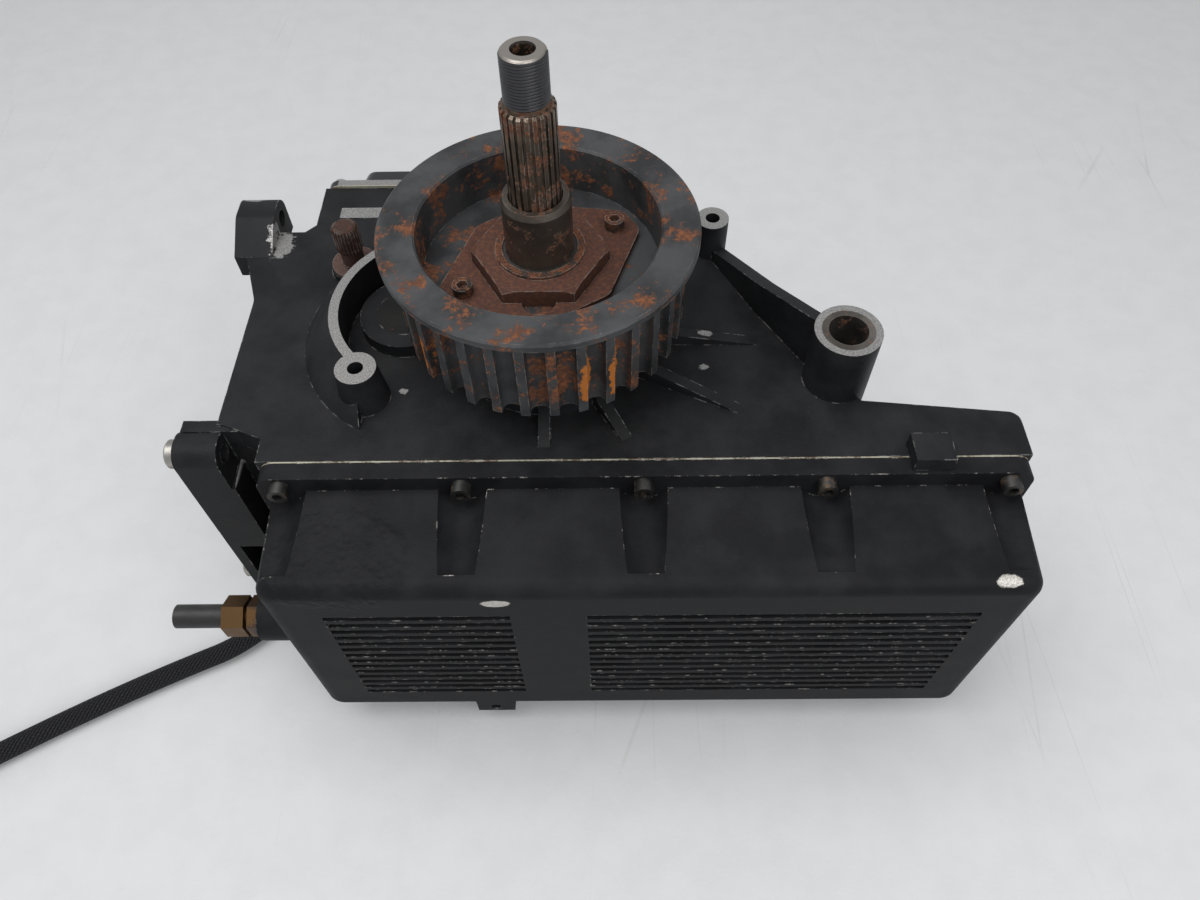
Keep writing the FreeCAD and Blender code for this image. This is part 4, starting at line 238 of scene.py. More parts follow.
class EffectShelf:
    """Builds each shared effect once and hands it out by name."""

    recipes: dict[Effect, EffectRecipe] = {}

    @classmethod
    def get(cls, effect: Effect) -> bpy.types.NodeTree:
        """Return an effect's node group, which is built at its first use.

        Args:
            effect: the effect to look up.

        Returns:
            The effect's node group.
        """
        if effect.value in bpy.data.node_groups:
            return bpy.data.node_groups[effect.value]
        recipe = cls.recipes[effect]
        tree = bpy.data.node_groups.new(effect.value, "ShaderNodeTree")
        for name, value in recipe.inputs.items():
            kind = "NodeSocketVector" if isinstance(value, tuple) else "NodeSocketFloat"
            socket = tree.interface.new_socket(name, in_out="INPUT", socket_type=kind)
            socket.default_value = value
        for name in recipe.outputs:
            kind = "NodeSocketColor" if name == "Colour" else "NodeSocketFloat"
            tree.interface.new_socket(name, in_out="OUTPUT", socket_type=kind)
        wiring = Wiring(tree)
        entry = wiring.node("NodeGroupInput")
        leave = wiring.node("NodeGroupOutput")
        recipe.wire(wiring, entry, leave)
        return tree


# Cells for each metre of the noises whose size is the same in every finish.
MOTTLE_SCALE = 38.0
CHIP_SCALE = 170.0
PATCH_SCALE = 26.0
SPECK_SCALE = 1500.0
FUZZ_SCALE = 2600.0
SCRATCHED_SCALE = 4.0


def wire_grain(w: Wiring, entry: bpy.types.Node, leave: bpy.types.Node) -> None:
    """Wire the fine grain of a sand casting under paint: a height and a slow mottle.

    Args:
        w: the group's wiring.
        entry: the node of the group's inputs.
        leave: the node of the group's outputs.
    """
    place = w.place()
    fine = w.noise(place, entry.outputs["Scale"], 3.0, 0.6)
    cells = w.node("ShaderNodeTexVoronoi")
    w.feed(cells.inputs["Vector"], place)
    w.feed(cells.inputs["Scale"], entry.outputs["Scale"])
    pits = w.remap(cells.outputs["Distance"], 0.0, 0.6)
    w.feed(leave.inputs["Height"], w.calc("MULTIPLY", fine, pits))
    slow = w.noise(place, MOTTLE_SCALE, 5.0, 0.6)
    w.feed(leave.inputs["Mottle"], w.remap(slow, 0.35, 0.68))


def wire_wear(w: Wiring, entry: bpy.types.Node, leave: bpy.types.Node) -> None:
    """Wire a mask of the edges that rub bare, broken up by noise.

    Args:
        w: the group's wiring.
        entry: the node of the group's inputs.
        leave: the node of the group's outputs.
    """
    rounded = w.node("ShaderNodeBevel", samples=6)
    w.feed(rounded.inputs["Radius"], entry.outputs["Width"])
    flat = w.node("ShaderNodeNewGeometry")
    turn = w.node("ShaderNodeVectorMath", operation="DOT_PRODUCT")
    w.feed(turn.inputs[0], rounded.outputs["Normal"])
    w.feed(turn.inputs[1], flat.outputs["Normal"])
    edge = w.remap(turn.outputs["Value"], 0.985, 0.86)
    broken = w.noise(w.place(), CHIP_SCALE, 6.0, 0.7)
    more = w.calc("MULTIPLY", entry.outputs["Amount"], 0.35)
    shown = w.remap(w.calc("ADD", broken, more), 0.6, 0.74)
    w.feed(leave.inputs["Mask"], w.calc("MULTIPLY", edge, shown))


def wire_dust(w: Wiring, entry: bpy.types.Node, leave: bpy.types.Node) -> None:
    """Wire a mask of the dust that settles on faces that look up.

    Args:
        w: the group's wiring.
        entry: the node of the group's inputs.
        leave: the node of the group's outputs.
    """
    normal = w.node("ShaderNodeNewGeometry")
    up = w.remap(w.split(normal.outputs["Normal"])[2], 0.2, 1.0)
    place = w.place()
    patches = w.remap(w.noise(place, PATCH_SCALE, 7.0, 0.65), 0.38, 0.72)
    specks = w.remap(w.noise(place, SPECK_SCALE, 1.0, 0.4), 0.62, 0.74)
    film = w.calc("ADD", w.calc("MULTIPLY", patches, 0.7), w.calc("MULTIPLY", specks, 0.55))
    settled = w.calc("MULTIPLY", film, up)
    w.feed(leave.inputs["Mask"], w.calc("MULTIPLY", settled, entry.outputs["Amount"]))


RUST_DARK: Colour = (0.018, 0.009, 0.006)
RUST_MIDDLE: Colour = (0.085, 0.032, 0.016)
RUST_BRIGHT: Colour = (0.3, 0.1, 0.025)
RUST_MIDDLE_AT = 0.48


def wire_rust(w: Wiring, entry: bpy.types.Node, leave: bpy.types.Node) -> None:
    """Wire rust: its colour, the share of the surface that it covers, and its height.

    Args:
        w: the group's wiring.
        entry: the node of the group's inputs.
        leave: the node of the group's outputs.
    """
    place = w.place()
    wide = w.noise(place, entry.outputs["Scale"], 8.0, 0.62)
    fine = w.noise(place, w.calc("MULTIPLY", entry.outputs["Scale"], 7.0), 6.0, 0.7)
    both = w.calc("ADD", w.calc("MULTIPLY", wide, 0.7), w.calc("MULTIPLY", fine, 0.3))
    edge = w.calc("SUBTRACT", 0.78, w.calc("MULTIPLY", entry.outputs["Cover"], 0.5))
    starts = w.calc("SUBTRACT", edge, 0.05)
    full = w.calc("ADD", edge, 0.05)
    w.feed(leave.inputs["Mask"], w.remap(both, starts, full))
    tone = w.node("ShaderNodeValToRGB")
    w.feed(tone.inputs["Fac"], w.remap(fine, 0.3, 0.72))
    stops = tone.color_ramp.elements
    stops[0].color = (*RUST_DARK, OPAQUE)
    stops[1].color = (*RUST_BRIGHT, OPAQUE)
    stops.new(RUST_MIDDLE_AT).color = (*RUST_MIDDLE, OPAQUE)
    w.feed(leave.inputs["Colour"], tone.outputs["Color"])
    w.feed(leave.inputs["Height"], both)


def wire_lathe(w: Wiring, entry: bpy.types.Node, leave: bpy.types.Node) -> None:
    """Wire the fine rings that turning leaves round the shafts' Z axis.

    Args:
        w: the group's wiring.
        entry: the node of the group's inputs.
        leave: the node of the group's outputs.
    """
    x, y, z = w.split(w.place())
    radius = w.calc("SQRT", w.calc("ADD", w.calc("MULTIPLY", x, x), w.calc("MULTIPLY", y, y)))
    ruled = w.node("ShaderNodeCombineXYZ")
    w.feed(ruled.inputs["X"], w.calc("MULTIPLY", radius, entry.outputs["Scale"]))
    w.feed(ruled.inputs["Y"], w.calc("MULTIPLY", z, entry.outputs["Scale"]))
    w.feed(leave.inputs["Height"], w.noise(ruled.outputs["Vector"], 1.0, 2.0, 0.5))


def wire_spot(w: Wiring, entry: bpy.types.Node, leave: bpy.types.Node) -> None:
    """Wire a ragged mask round one point, stretched by Size along each axis.

    Args:
        w: the group's wiring.
        entry: the node of the group's inputs.
        leave: the node of the group's outputs.
    """
    offset = w.node("ShaderNodeVectorMath", operation="SUBTRACT")
    w.feed(offset.inputs[0], w.place())
    w.feed(offset.inputs[1], entry.outputs["Centre"])
    scaled = w.node("ShaderNodeVectorMath", operation="DIVIDE")
    w.feed(scaled.inputs[0], offset.outputs["Vector"])
    w.feed(scaled.inputs[1], entry.outputs["Size"])
    far = w.node("ShaderNodeVectorMath", operation="LENGTH")
    w.feed(far.inputs[0], scaled.outputs["Vector"])
    ragged = w.noise(w.place(), entry.outputs["Scale"], 6.0, 0.7)
    torn = w.calc("MULTIPLY", w.calc("SUBTRACT", ragged, 0.5), entry.outputs["Ragged"])
    reach = w.calc("ADD", far.outputs["Value"], torn)
    w.feed(leave.inputs["Mask"], w.remap(reach, 1.0, 0.82))


def wire_face(w: Wiring, entry: bpy.types.Node, leave: bpy.types.Node) -> None:
    """Wire a mask of the level faces between two heights, within Reach of Centre.

    Args:
        w: the group's wiring.
        entry: the node of the group's inputs.
        leave: the node of the group's outputs.
    """
    normal = w.node("ShaderNodeNewGeometry")
    up = w.remap(w.split(normal.outputs["Normal"])[2], 0.99, 0.998)
    z = w.split(w.place())[2]
    above = w.calc("GREATER_THAN", z, entry.outputs["Low"])
    below = w.calc("LESS_THAN", z, entry.outputs["High"])
    offset = w.node("ShaderNodeVectorMath", operation="DISTANCE")
    w.feed(offset.inputs[0], w.place())
    w.feed(offset.inputs[1], entry.outputs["Centre"])
    near = w.calc("LESS_THAN", offset.outputs["Value"], entry.outputs["Reach"])
    band = w.calc("MULTIPLY", above, below)
    w.feed(leave.inputs["Mask"], w.calc("MULTIPLY", w.calc("MULTIPLY", up, near), band))


def wire_braid(w: Wiring, entry: bpy.types.Node, leave: bpy.types.Node) -> None:
    """Wire a braided sleeve from the tube's map: two sets of strands that cross.

    Args:
        w: the group's wiring.
        entry: the node of the group's inputs.
        leave: the node of the group's outputs.
    """
    u, v, _ = w.split(w.node("ShaderNodeTexCoord").outputs["UV"])
    turns = w.calc("MULTIPLY", v, entry.outputs["Strands"])
    run = w.calc("MULTIPLY", u, entry.outputs["Pitch"])
    right = w.calc("SINE", w.calc("MULTIPLY", w.calc("ADD", turns, run), math.tau))
    left = w.calc("SINE", w.calc("MULTIPLY", w.calc("SUBTRACT", turns, run), math.tau))
    over = w.calc("GREATER_THAN", w.calc("MULTIPLY", right, left), 0.0)
    crossing = w.calc("MULTIPLY", w.calc("ABSOLUTE", left), over)
    high = w.calc("MAXIMUM", w.calc("ABSOLUTE", right), crossing)
    fuzz = w.noise(w.place(), FUZZ_SCALE, 2.0, 0.6)
    w.feed(leave.inputs["Height"], w.calc("ADD", high, w.calc("MULTIPLY", fuzz, 0.35)))
    w.feed(leave.inputs["Mask"], w.remap(high, 0.25, 0.95))


# The angle in radians and the stretch of each set of scratches.
SCRATCH_SETS = ((0.4, 0.06), (1.3, 0.09), (2.5, 0.05))


def wire_scratch(w: Wiring, entry: bpy.types.Node, leave: bpy.types.Node) -> None:
    """Wire thin scratches: a few stretched cell borders at odd angles.

    Args:
        w: the group's wiring.
        entry: the node of the group's inputs.
        leave: the node of the group's outputs.
    """
    lines = None
    for angle, stretch in SCRATCH_SETS:
        turned = w.node("ShaderNodeMapping")
        w.feed(turned.inputs["Vector"], w.place())
        turned.inputs["Rotation"].default_value = (0.0, 0.0, angle)
        turned.inputs["Scale"].default_value = (1.0, stretch, 1.0)
        cells = w.node("ShaderNodeTexVoronoi", feature="DISTANCE_TO_EDGE")
        w.feed(cells.inputs["Vector"], turned.outputs["Vector"])
        w.feed(cells.inputs["Scale"], entry.outputs["Scale"])
        line = w.remap(cells.outputs["Distance"], 0.004, 0.0)
        lines = line if lines is None else w.calc("MAXIMUM", lines, line)
    patchy = w.remap(w.noise(w.place(), SCRATCHED_SCALE, 5.0, 0.6), 0.52, 0.7)
    w.feed(leave.inputs["Mask"], w.calc("MULTIPLY", w.calc("MULTIPLY", lines, patchy), 0.3))


EffectShelf.recipes = {
    Effect.GRAIN: EffectRecipe({"Scale": 900.0}, ("Height", "Mottle"), wire_grain),
    Effect.WEAR: EffectRecipe({"Width": 0.001, "Amount": 0.5}, ("Mask",), wire_wear),
    Effect.DUST: EffectRecipe({"Amount": 0.4}, ("Mask",), wire_dust),
    Effect.RUST: EffectRecipe(
        {"Scale": 60.0, "Cover": 0.5}, ("Colour", "Mask", "Height"), wire_rust
    ),
    Effect.LATHE: EffectRecipe({"Scale": 2500.0}, ("Height",), wire_lathe),
    Effect.SPOT: EffectRecipe(
        {"Centre": ORIGIN, "Size": (0.01, 0.01, 0.01), "Scale": 120.0, "Ragged": 1.2},
        ("Mask",),
        wire_spot,
    ),
    Effect.FACE: EffectRecipe(
        {"Low": 0.0, "High": 1.0, "Centre": ORIGIN, "Reach": 1.0}, ("Mask",), wire_face
    ),
    Effect.BRAID: EffectRecipe({"Strands": 8.0, "Pitch": 170.0}, ("Height", "Mask"), wire_braid),
    Effect.SCRATCH: EffectRecipe({"Scale": 9.0}, ("Mask",), wire_scratch),
}


# Finishes


@dataclass(frozen=True)
class Scar:
    """One worn, rusted or crinkled place on a surface, in metres."""

    centre: Point
    size: Point
    ragged: float = 1.2
    scale: float = 160.0


@dataclass(frozen=True)
class Level:
    """A band of height whose level faces are machined bare, near one point, in metres."""

    low: float
    high: float
    centre: Point = ORIGIN
    reach: float = 1.0


@dataclass(frozen=True)
class Finish:
    """What every finish shares: its name, its main colour, how rough it is and how it reflects."""

    name: str
    colour: Colour
    rough: float
    gleam: float = 0.5

    def dress(self, w: Wiring, shader: bpy.types.Node) -> None:
        """Wire the finish's own effects to the shader."""
        raise NotImplementedError

    def bump(
        self, w: Wiring, shader: bpy.types.Node, height: bpy.types.NodeSocket, depth: float
    ) -> None:
        """Raise the surface by a height.

        Args:
            w: the material's wiring.
            shader: the material's shader.
            height: the height's socket, about 0 to 1.
            depth: the real height in metres that 1 stands for.
        """
        relief = w.node("ShaderNodeBump")
        relief.inputs["Distance"].default_value = depth
        w.feed(relief.inputs["Height"], height)
        w.feed(shader.inputs["Normal"], relief.outputs["Normal"])

    def spots(self, w: Wiring, scars: Sequence[Scar]) -> object:
        """Join the masks of some worn places.

        Args:
            w: the material's wiring.
            scars: the worn places.

        Returns:
            The joint mask's socket, or 0 where there are no places.
        """
        mask: object = 0.0
        for scar in scars:
            spot = w.use(
                Effect.SPOT,
                Centre=scar.centre,
                Size=scar.size,
                Ragged=scar.ragged,
                Scale=scar.scale,
            )
            mask = w.calc("MAXIMUM", mask, spot.outputs["Mask"])
        return mask

    def material(self) -> bpy.types.Material:
        """Build the finish's material at its first use.

        Returns:
            The material.
        """
        look = self.name + "_look"
        if look in bpy.data.materials:
            return bpy.data.materials[look]
        made = bpy.data.materials.new(look)
        made.use_nodes = True
        made.diffuse_color = (*self.colour, OPAQUE)
        w = Wiring(made.node_tree)
        shader = made.node_tree.nodes["Principled BSDF"]
        shader.inputs["Roughness"].default_value = self.rough
        shader.inputs["Specular IOR Level"].default_value = self.gleam
        self.dress(w, shader)
        return made


@dataclass(frozen=True)
class CastPaint(Finish):
    """Black paint on cast aluminium, with rubbed edges, dust, scars and machined faces."""

    gleam: float = 0.15
    grain: float = 1000.0
    depth: float = 0.00012
    wear: float = 0.3
    dust: float = 0.05
    sheen: float = 0.12
    lift: float = 1.5
    haze: float = 0.003
    dust_colour: Colour = (0.2, 0.195, 0.185)
    edge: float = 0.0011
    bare: Colour = (0.42, 0.41, 0.4)
    bare_rough: float = 0.45
    bare_metal: float = 0.6
    pit_scale: float = 1400.0
    pit_shade: float = 0.55
    fold_scale: float = 210.0
    fold_height: float = 6.0
    scars: tuple[Scar, ...] = ()
    crinkles: tuple[Scar, ...] = ()
    faces: tuple[Level, ...] = ()

    def dress(self, w: Wiring, shader: bpy.types.Node) -> None:
        """Wire grain, dust, wear, scars and machined faces.

        Args:
            w: the material's wiring.
            shader: the material's shader.
        """
        grain = w.use(Effect.GRAIN, Scale=self.grain)
        dust = w.use(Effect.DUST, Amount=self.dust)
        lighter = tuple(part * self.lift + self.haze for part in self.colour)
        paint = w.blend(grain.outputs["Mottle"], self.colour, lighter)
        paint = w.blend(dust.outputs["Mask"], paint, self.dust_colour)
        bare = w.use(Effect.WEAR, Width=self.edge, Amount=self.wear).outputs["Mask"]
        bare = w.calc("MAXIMUM", bare, self.spots(w, self.scars))
        for level in self.faces:
            face = w.use(
                Effect.FACE,
                Low=level.low,
                High=level.high,
                Centre=level.centre,
                Reach=level.reach,
            )
            bare = w.calc("MAXIMUM", bare, face.outputs["Mask"])
        dull = tuple(part * self.pit_shade for part in self.bare)
        pits = w.remap(w.noise(w.place(), self.pit_scale, 4.0, 0.7), 0.4, 0.62)
        metal = w.blend(pits, dull, self.bare)
        w.feed(shader.inputs["Base Color"], w.blend(bare, paint, metal))
        w.feed(shader.inputs["Metallic"], w.calc("MULTIPLY", bare, self.bare_metal))
        rough = w.calc("ADD", self.rough, w.calc("MULTIPLY", grain.outputs["Mottle"], self.sheen))
        w.feed(shader.inputs["Roughness"], w.remap(bare, 0.0, 1.0, rough, self.bare_rough))
        height = grain.outputs["Height"]
        if self.crinkles:
            folds = w.use(Effect.GRAIN, Scale=self.fold_scale).outputs["Height"]
            raised = w.calc("MULTIPLY", folds, self.fold_height)
            raised = w.calc("MULTIPLY", raised, self.spots(w, self.crinkles))
            height = w.calc("ADD", height, raised)
        self.bump(w, shader, height, self.depth)


@dataclass(frozen=True)
class RustySteel(Finish):
    """Steel under patchy rust, with turning marks and rubbed edges."""

    gleam: float = 0.3
    cover: float = 0.6
    scale: float = 60.0
    grain: float = 700.0
    shade: float = 0.45
    depth: float = 0.0002
    metal: float = 0.8
    lathe: float = 0.0
    lathe_share: float = 0.3
    bright: Colour = (0.36, 0.33, 0.3)
    edge: float = 0.0009
    wear: float = 0.5
    rubbed: float = 0.55
    tint: Colour = (0.13, 0.055, 0.035)
    even: float = 0.35
    orange: tuple[Scar, ...] = ()
    flame: Colour = (0.4, 0.13, 0.022)
    clean: tuple[Scar, ...] = ()
    rust_metal: float = 0.05
    rust_rough: float = 0.82

    def dress(self, w: Wiring, shader: bpy.types.Node) -> None:
        """Wire rust over steel.

        Args:
            w: the material's wiring.
            shader: the material's shader.
        """
        rust = w.use(Effect.RUST, Scale=self.scale, Cover=self.cover)
        grain = w.use(Effect.GRAIN, Scale=self.grain)
        darker = tuple(part * self.shade for part in self.colour)
        steel = w.blend(grain.outputs["Mottle"], self.colour, darker)
        worn = w.use(Effect.WEAR, Width=self.edge, Amount=self.wear).outputs["Mask"]
        orange = self.spots(w, self.orange)
        clean = self.spots(w, self.clean)
        calm = w.blend(self.even, rust.outputs["Colour"], self.tint)
        red = w.blend(orange, calm, self.flame)
        share = w.calc("SUBTRACT", w.calc("MAXIMUM", rust.outputs["Mask"], orange), clean)
        share = w.remap(share, 0.0, 1.0)
        rubbed = w.calc("MULTIPLY", worn, self.rubbed)
        skin = w.blend(rubbed, w.blend(share, steel, red), self.bright)
        w.feed(shader.inputs["Base Color"], w.blend(clean, skin, self.bright))
        w.feed(shader.inputs["Metallic"], w.remap(share, 0.0, 1.0, self.metal, self.rust_metal))
        w.feed(shader.inputs["Roughness"], w.remap(share, 0.0, 1.0, self.rough, self.rust_rough))
        height = w.calc("MULTIPLY", rust.outputs["Height"], share)
        if self.lathe:
            marks = w.use(Effect.LATHE, Scale=self.lathe).outputs["Height"]
            height = w.calc("ADD", height, w.calc("MULTIPLY", marks, self.lathe_share))
        self.bump(w, shader, height, self.depth)


@dataclass(frozen=True)
class PlainMetal(Finish):
    """Clean or oiled metal with slight stains."""

    stain: Colour = (0.12, 0.08, 0.05)
    stained: float = 0.3
    stain_scale: float = 90.0
    stain_metal: float = 0.5
    stain_rough: float = 0.2
    metal: float = 1.0
    lathe: float = 0.0
    depth: float = 0.00006

    def dress(self, w: Wiring, shader: bpy.types.Node) -> None:
        """Wire stains and turning marks.

        Args:
            w: the material's wiring.
            shader: the material's shader.
        """
        rust = w.use(Effect.RUST, Scale=self.stain_scale, Cover=self.stained)
        mask = rust.outputs["Mask"]
        height = rust.outputs["Height"]
        metal = w.remap(mask, 0.0, 1.0, self.metal, self.metal * self.stain_metal)
        rough = w.remap(height, 0.3, 0.7, self.rough, self.rough + self.stain_rough)
        w.feed(shader.inputs["Base Color"], w.blend(mask, self.colour, self.stain))
        w.feed(shader.inputs["Metallic"], metal)
        w.feed(shader.inputs["Roughness"], rough)
        if self.lathe:
            height = w.use(Effect.LATHE, Scale=self.lathe).outputs["Height"]
        self.bump(w, shader, height, self.depth)


@dataclass(frozen=True)
class MouldedPlastic(Finish):
    """Black plastic or rubber with a fine moulded texture."""

    grain: float = 1600.0
    sheen: float = 0.15
    dust: float = 0.3
    dust_colour: Colour = (0.22, 0.2, 0.18)
    brass: tuple[Scar, ...] = ()
    metal: Colour = (0.13, 0.075, 0.034)
    depth: float = 0.00005

    def dress(self, w: Wiring, shader: bpy.types.Node) -> None:
        """Wire a faint grain, dust and any part that is metal.

        Args:
            w: the material's wiring.
            shader: the material's shader.
        """
        grain = w.use(Effect.GRAIN, Scale=self.grain)
        dust = w.use(Effect.DUST, Amount=self.dust)
        skin = w.blend(dust.outputs["Mask"], self.colour, self.dust_colour)
        metal = self.spots(w, self.brass)
        rough = w.remap(grain.outputs["Mottle"], 0.0, 1.0, self.rough, self.rough + self.sheen)
        w.feed(shader.inputs["Base Color"], w.blend(metal, skin, self.metal))
        w.feed(shader.inputs["Metallic"], metal)
        w.feed(shader.inputs["Roughness"], rough)
        self.bump(w, shader, grain.outputs["Height"], self.depth)


@dataclass(frozen=True)
class BraidedSleeve(Finish):
    """A braided black sleeve over the cable."""

    strand: Colour = (0.024, 0.024, 0.026)
    gap_rough: float = 0.8
    depth: float = 0.0012

    def dress(self, w: Wiring, shader: bpy.types.Node) -> None:
        """Wire the crossing strands.

        Args:
            w: the material's wiring.
            shader: the material's shader.
        """
        braid = w.use(Effect.BRAID)
        mask = braid.outputs["Mask"]
        w.feed(shader.inputs["Base Color"], w.blend(mask, self.colour, self.strand))
        w.feed(shader.inputs["Roughness"], w.remap(mask, 0.0, 1.0, self.gap_rough, self.rough))
        self.bump(w, shader, braid.outputs["Height"], self.depth)


@dataclass(frozen=True)
class PaleFloor(Finish):
    """White board with faint scratches."""

    scratched: Colour = (0.4, 0.38, 0.36)
    grain: float = 300.0
    shade: float = 0.965
    depth: float = 0.0001

    def dress(self, w: Wiring, shader: bpy.types.Node) -> None:
        """Wire scratches and a soft mottle.

        Args:
            w: the material's wiring.
            shader: the material's shader.
        """
        scratch = w.use(Effect.SCRATCH)
        grain = w.use(Effect.GRAIN, Scale=self.grain)
        shade = tuple(part * self.shade for part in self.colour)
        board = w.blend(grain.outputs["Mottle"], self.colour, shade)
        board = w.blend(scratch.outputs["Mask"], board, self.scratched)
        w.feed(shader.inputs["Base Color"], board)
        self.bump(w, shader, grain.outputs["Height"], self.depth)


GUARD_TOPS = Level(0.2147, 0.2153)
PIVOT_TOP = Level(0.2277, 0.2283)
BARE_PAD = Level(0.1924, 0.1928, (-0.114, 0.1035, 0.1926), 0.017)
LID_FLANGE = Level(0.1932, 0.1938)

EAR_SCARS = (
    Scar((-0.1575, 0.077, 0.1965), (0.0075, 0.016, 0.008), 2.2, 130.0),
    Scar((-0.1755, 0.105, 0.203), (0.007, 0.004, 0.003), 1.6, 260.0),
    Scar((-0.16, -0.0592, 0.165), (0.0013, 0.0165, 0.0018), 0.5, 300.0),
)
DECK_SCARS = (
    Scar((0.0835, 0.0, 0.196), (0.004, 0.0025, 0.012), 1.6, 320.0),
    Scar((0.0822, -0.02, 0.197), (0.003, 0.0022, 0.012), 1.6, 320.0),
    Scar((-0.0735, -0.034, 0.194), (0.003, 0.0025, 0.005), 1.6, 320.0),
)
PAN_SCARS = (
    Scar((-0.0225, -0.139, 0.1647), (0.0078, 0.006, 0.0038), 0.5, 400.0),
    Scar((0.2162, -0.139, 0.1762), (0.0072, 0.006, 0.0028), 0.6, 400.0),
)
PAN_CRINKLE = Scar((-0.098, -0.125, 0.176), (0.038, 0.03, 0.022), 0.5)
TOOTH_RUST = (
    Scar((0.0212, -0.0625, 0.236), (0.0035, 0.006, 0.02), 1.4, 190.0),
    Scar((0.0336, -0.0568, 0.236), (0.0035, 0.006, 0.02), 1.4, 190.0),
    Scar((-0.0529, -0.0395, 0.232), (0.006, 0.005, 0.02), 1.4, 190.0),
    Scar((0.045, -0.048, 0.24), (0.0035, 0.005, 0.014), 1.6, 190.0),
)
SHAFT_END = Scar((0.0, 0.0, 0.362), (0.03, 0.03, 0.0055), 0.1)
SENDER_HEX = Scar((-0.1645, -0.122, 0.113), (0.0078, 0.06, 0.06), 0.0)

CASE_PAINT = CastPaint(
    "case_paint",
    (0.0105, 0.0108, 0.0118),
    0.46,
    faces=(GUARD_TOPS, PIVOT_TOP, BARE_PAD),
    scars=EAR_SCARS + DECK_SCARS,
)
PAN_PAINT = CastPaint(
    "pan_paint",
    (0.0098, 0.01, 0.011),
    0.5,
    gleam=0.1,
    depth=0.0001,
    wear=0.2,
    dust=0.03,
    bare=(0.7, 0.67, 0.62),
    scars=PAN_SCARS,
    crinkles=(PAN_CRINKLE,),
)
GLOSS_PAINT = CastPaint(
    "gloss_paint",
    (0.006, 0.006, 0.007),
    0.16,
    depth=0.00003,
    gleam=0.5,
    wear=0.2,
    dust=0.04,
    sheen=0.05,
    faces=(LID_FLANGE,),
)
PULLEY_STEEL = RustySteel(
    "pulley_steel",
    (0.075, 0.077, 0.08),
    0.56,
    cover=0.46,
    scale=58.0,
    metal=0.35,
    wear=0.4,
    tint=(0.17, 0.075, 0.045),
    even=0.45,
    orange=TOOTH_RUST,
)
RUSTY_STEEL = RustySteel(
    "rusty_steel",
    (0.07, 0.045, 0.036),
    0.6,
    cover=0.9,
    scale=75.0,
    metal=0.3,
    tint=(0.085, 0.04, 0.03),
    even=0.72,
)
SHAFT_STEEL = RustySteel(
    "shaft_steel",
    (0.19, 0.15, 0.115),
    0.36,
    cover=0.5,
    scale=95.0,
    metal=0.9,
    lathe=3000.0,
    clean=(SHAFT_END,),
)
WORN_STEEL = PlainMetal("worn_steel", (0.42, 0.4, 0.37), 0.3, stained=0.4, lathe=3500.0)
THREAD_STEEL = PlainMetal(
    "thread_steel", (0.085, 0.085, 0.09), 0.26, stain=(0.035, 0.03, 0.027), stained=0.35
)
STUB_RUST = RustySteel(
    "stub_rust",
    (0.04, 0.03, 0.027),
    0.6,
    cover=0.8,
    scale=120.0,
    metal=0.2,
    tint=(0.05, 0.03, 0.026),
    even=0.8,
)
DARK_SCREW = PlainMetal("dark_screw", (0.09, 0.088, 0.085), 0.42, stained=0.5)
BRIGHT_SCREW = PlainMetal("bright_screw", (0.6, 0.6, 0.6), 0.2, stained=0.15)
BRIGHT_GASKET = PlainMetal("bright_gasket", (0.42, 0.4, 0.31), 0.5, stained=0.5, metal=0.3)
BEARING_STEEL = PlainMetal("bearing_steel", (0.42, 0.4, 0.38), 0.32, stained=0.35)
GEAR_STEEL = PlainMetal("gear_steel", (0.4, 0.39, 0.38), 0.3, stained=0.2)
ALUMINIUM = PlainMetal("bare_aluminium", (0.55, 0.55, 0.56), 0.42, stained=0.15)
BRASS = PlainMetal("brass", (0.14, 0.08, 0.036), 0.4, stain=(0.05, 0.028, 0.018), stained=0.55)
SENDER_PLASTIC = MouldedPlastic(
    "sender_plastic", (0.012, 0.012, 0.013), 0.42, brass=(SENDER_HEX,)
)
SEAL_RUBBER = MouldedPlastic("seal_rubber", (0.02, 0.016, 0.013), 0.55)
PAPER_GASKET = MouldedPlastic("paper_gasket", (0.12, 0.1, 0.08), 0.85)
CABLE_BRAID = BraidedSleeve("cable_braid", (0.004, 0.004, 0.0045), 0.6, gleam=0.2)
FLOOR = PaleFloor("pale_floor", (0.72, 0.722, 0.722), 0.6, gleam=0.2)

# The finishes of the nodes that look unlike the rest of their slot.
NODE_FINISHES: dict[str, Finish] = {
    "shift_shaft": STUB_RUST,
    "shift_shaft_washer": RustySteel(
        "washer_rust",
        (0.08, 0.062, 0.058),
        0.6,
        cover=0.8,
        scale=120.0,
        metal=0.3,
        tint=(0.1, 0.065, 0.058),
        even=0.8,
    ),
    "countershaft_needle_bearing": RustySteel(
        "greasy_cup",
        (0.012, 0.011, 0.01),
        0.45,
        cover=0.25,
        scale=140.0,
        metal=0.2,
        wear=0.25,
        even=0.8,
    ),
    "main_drive_gear": RustySteel(
        "drive_end", (0.07, 0.062, 0.056), 0.45, cover=0.6, scale=130.0, metal=0.6
    ),
    "clutch_bearing_race": RustySteel(
        "race_sleeve",
        (0.17, 0.145, 0.122),
        0.36,
        cover=0.4,
        scale=150.0,
        metal=0.85,
        lathe=3500.0,
    ),
    "pivot_sleeve": RustySteel(
        "pivot_steel", (0.24, 0.215, 0.19), 0.38, cover=0.4, scale=110.0, metal=0.85
    ),
    "lock_plate_screws": RustySteel(
        "plate_screw_rust", (0.07, 0.055, 0.048), 0.5, cover=0.6, scale=160.0, metal=0.5
    ),
}

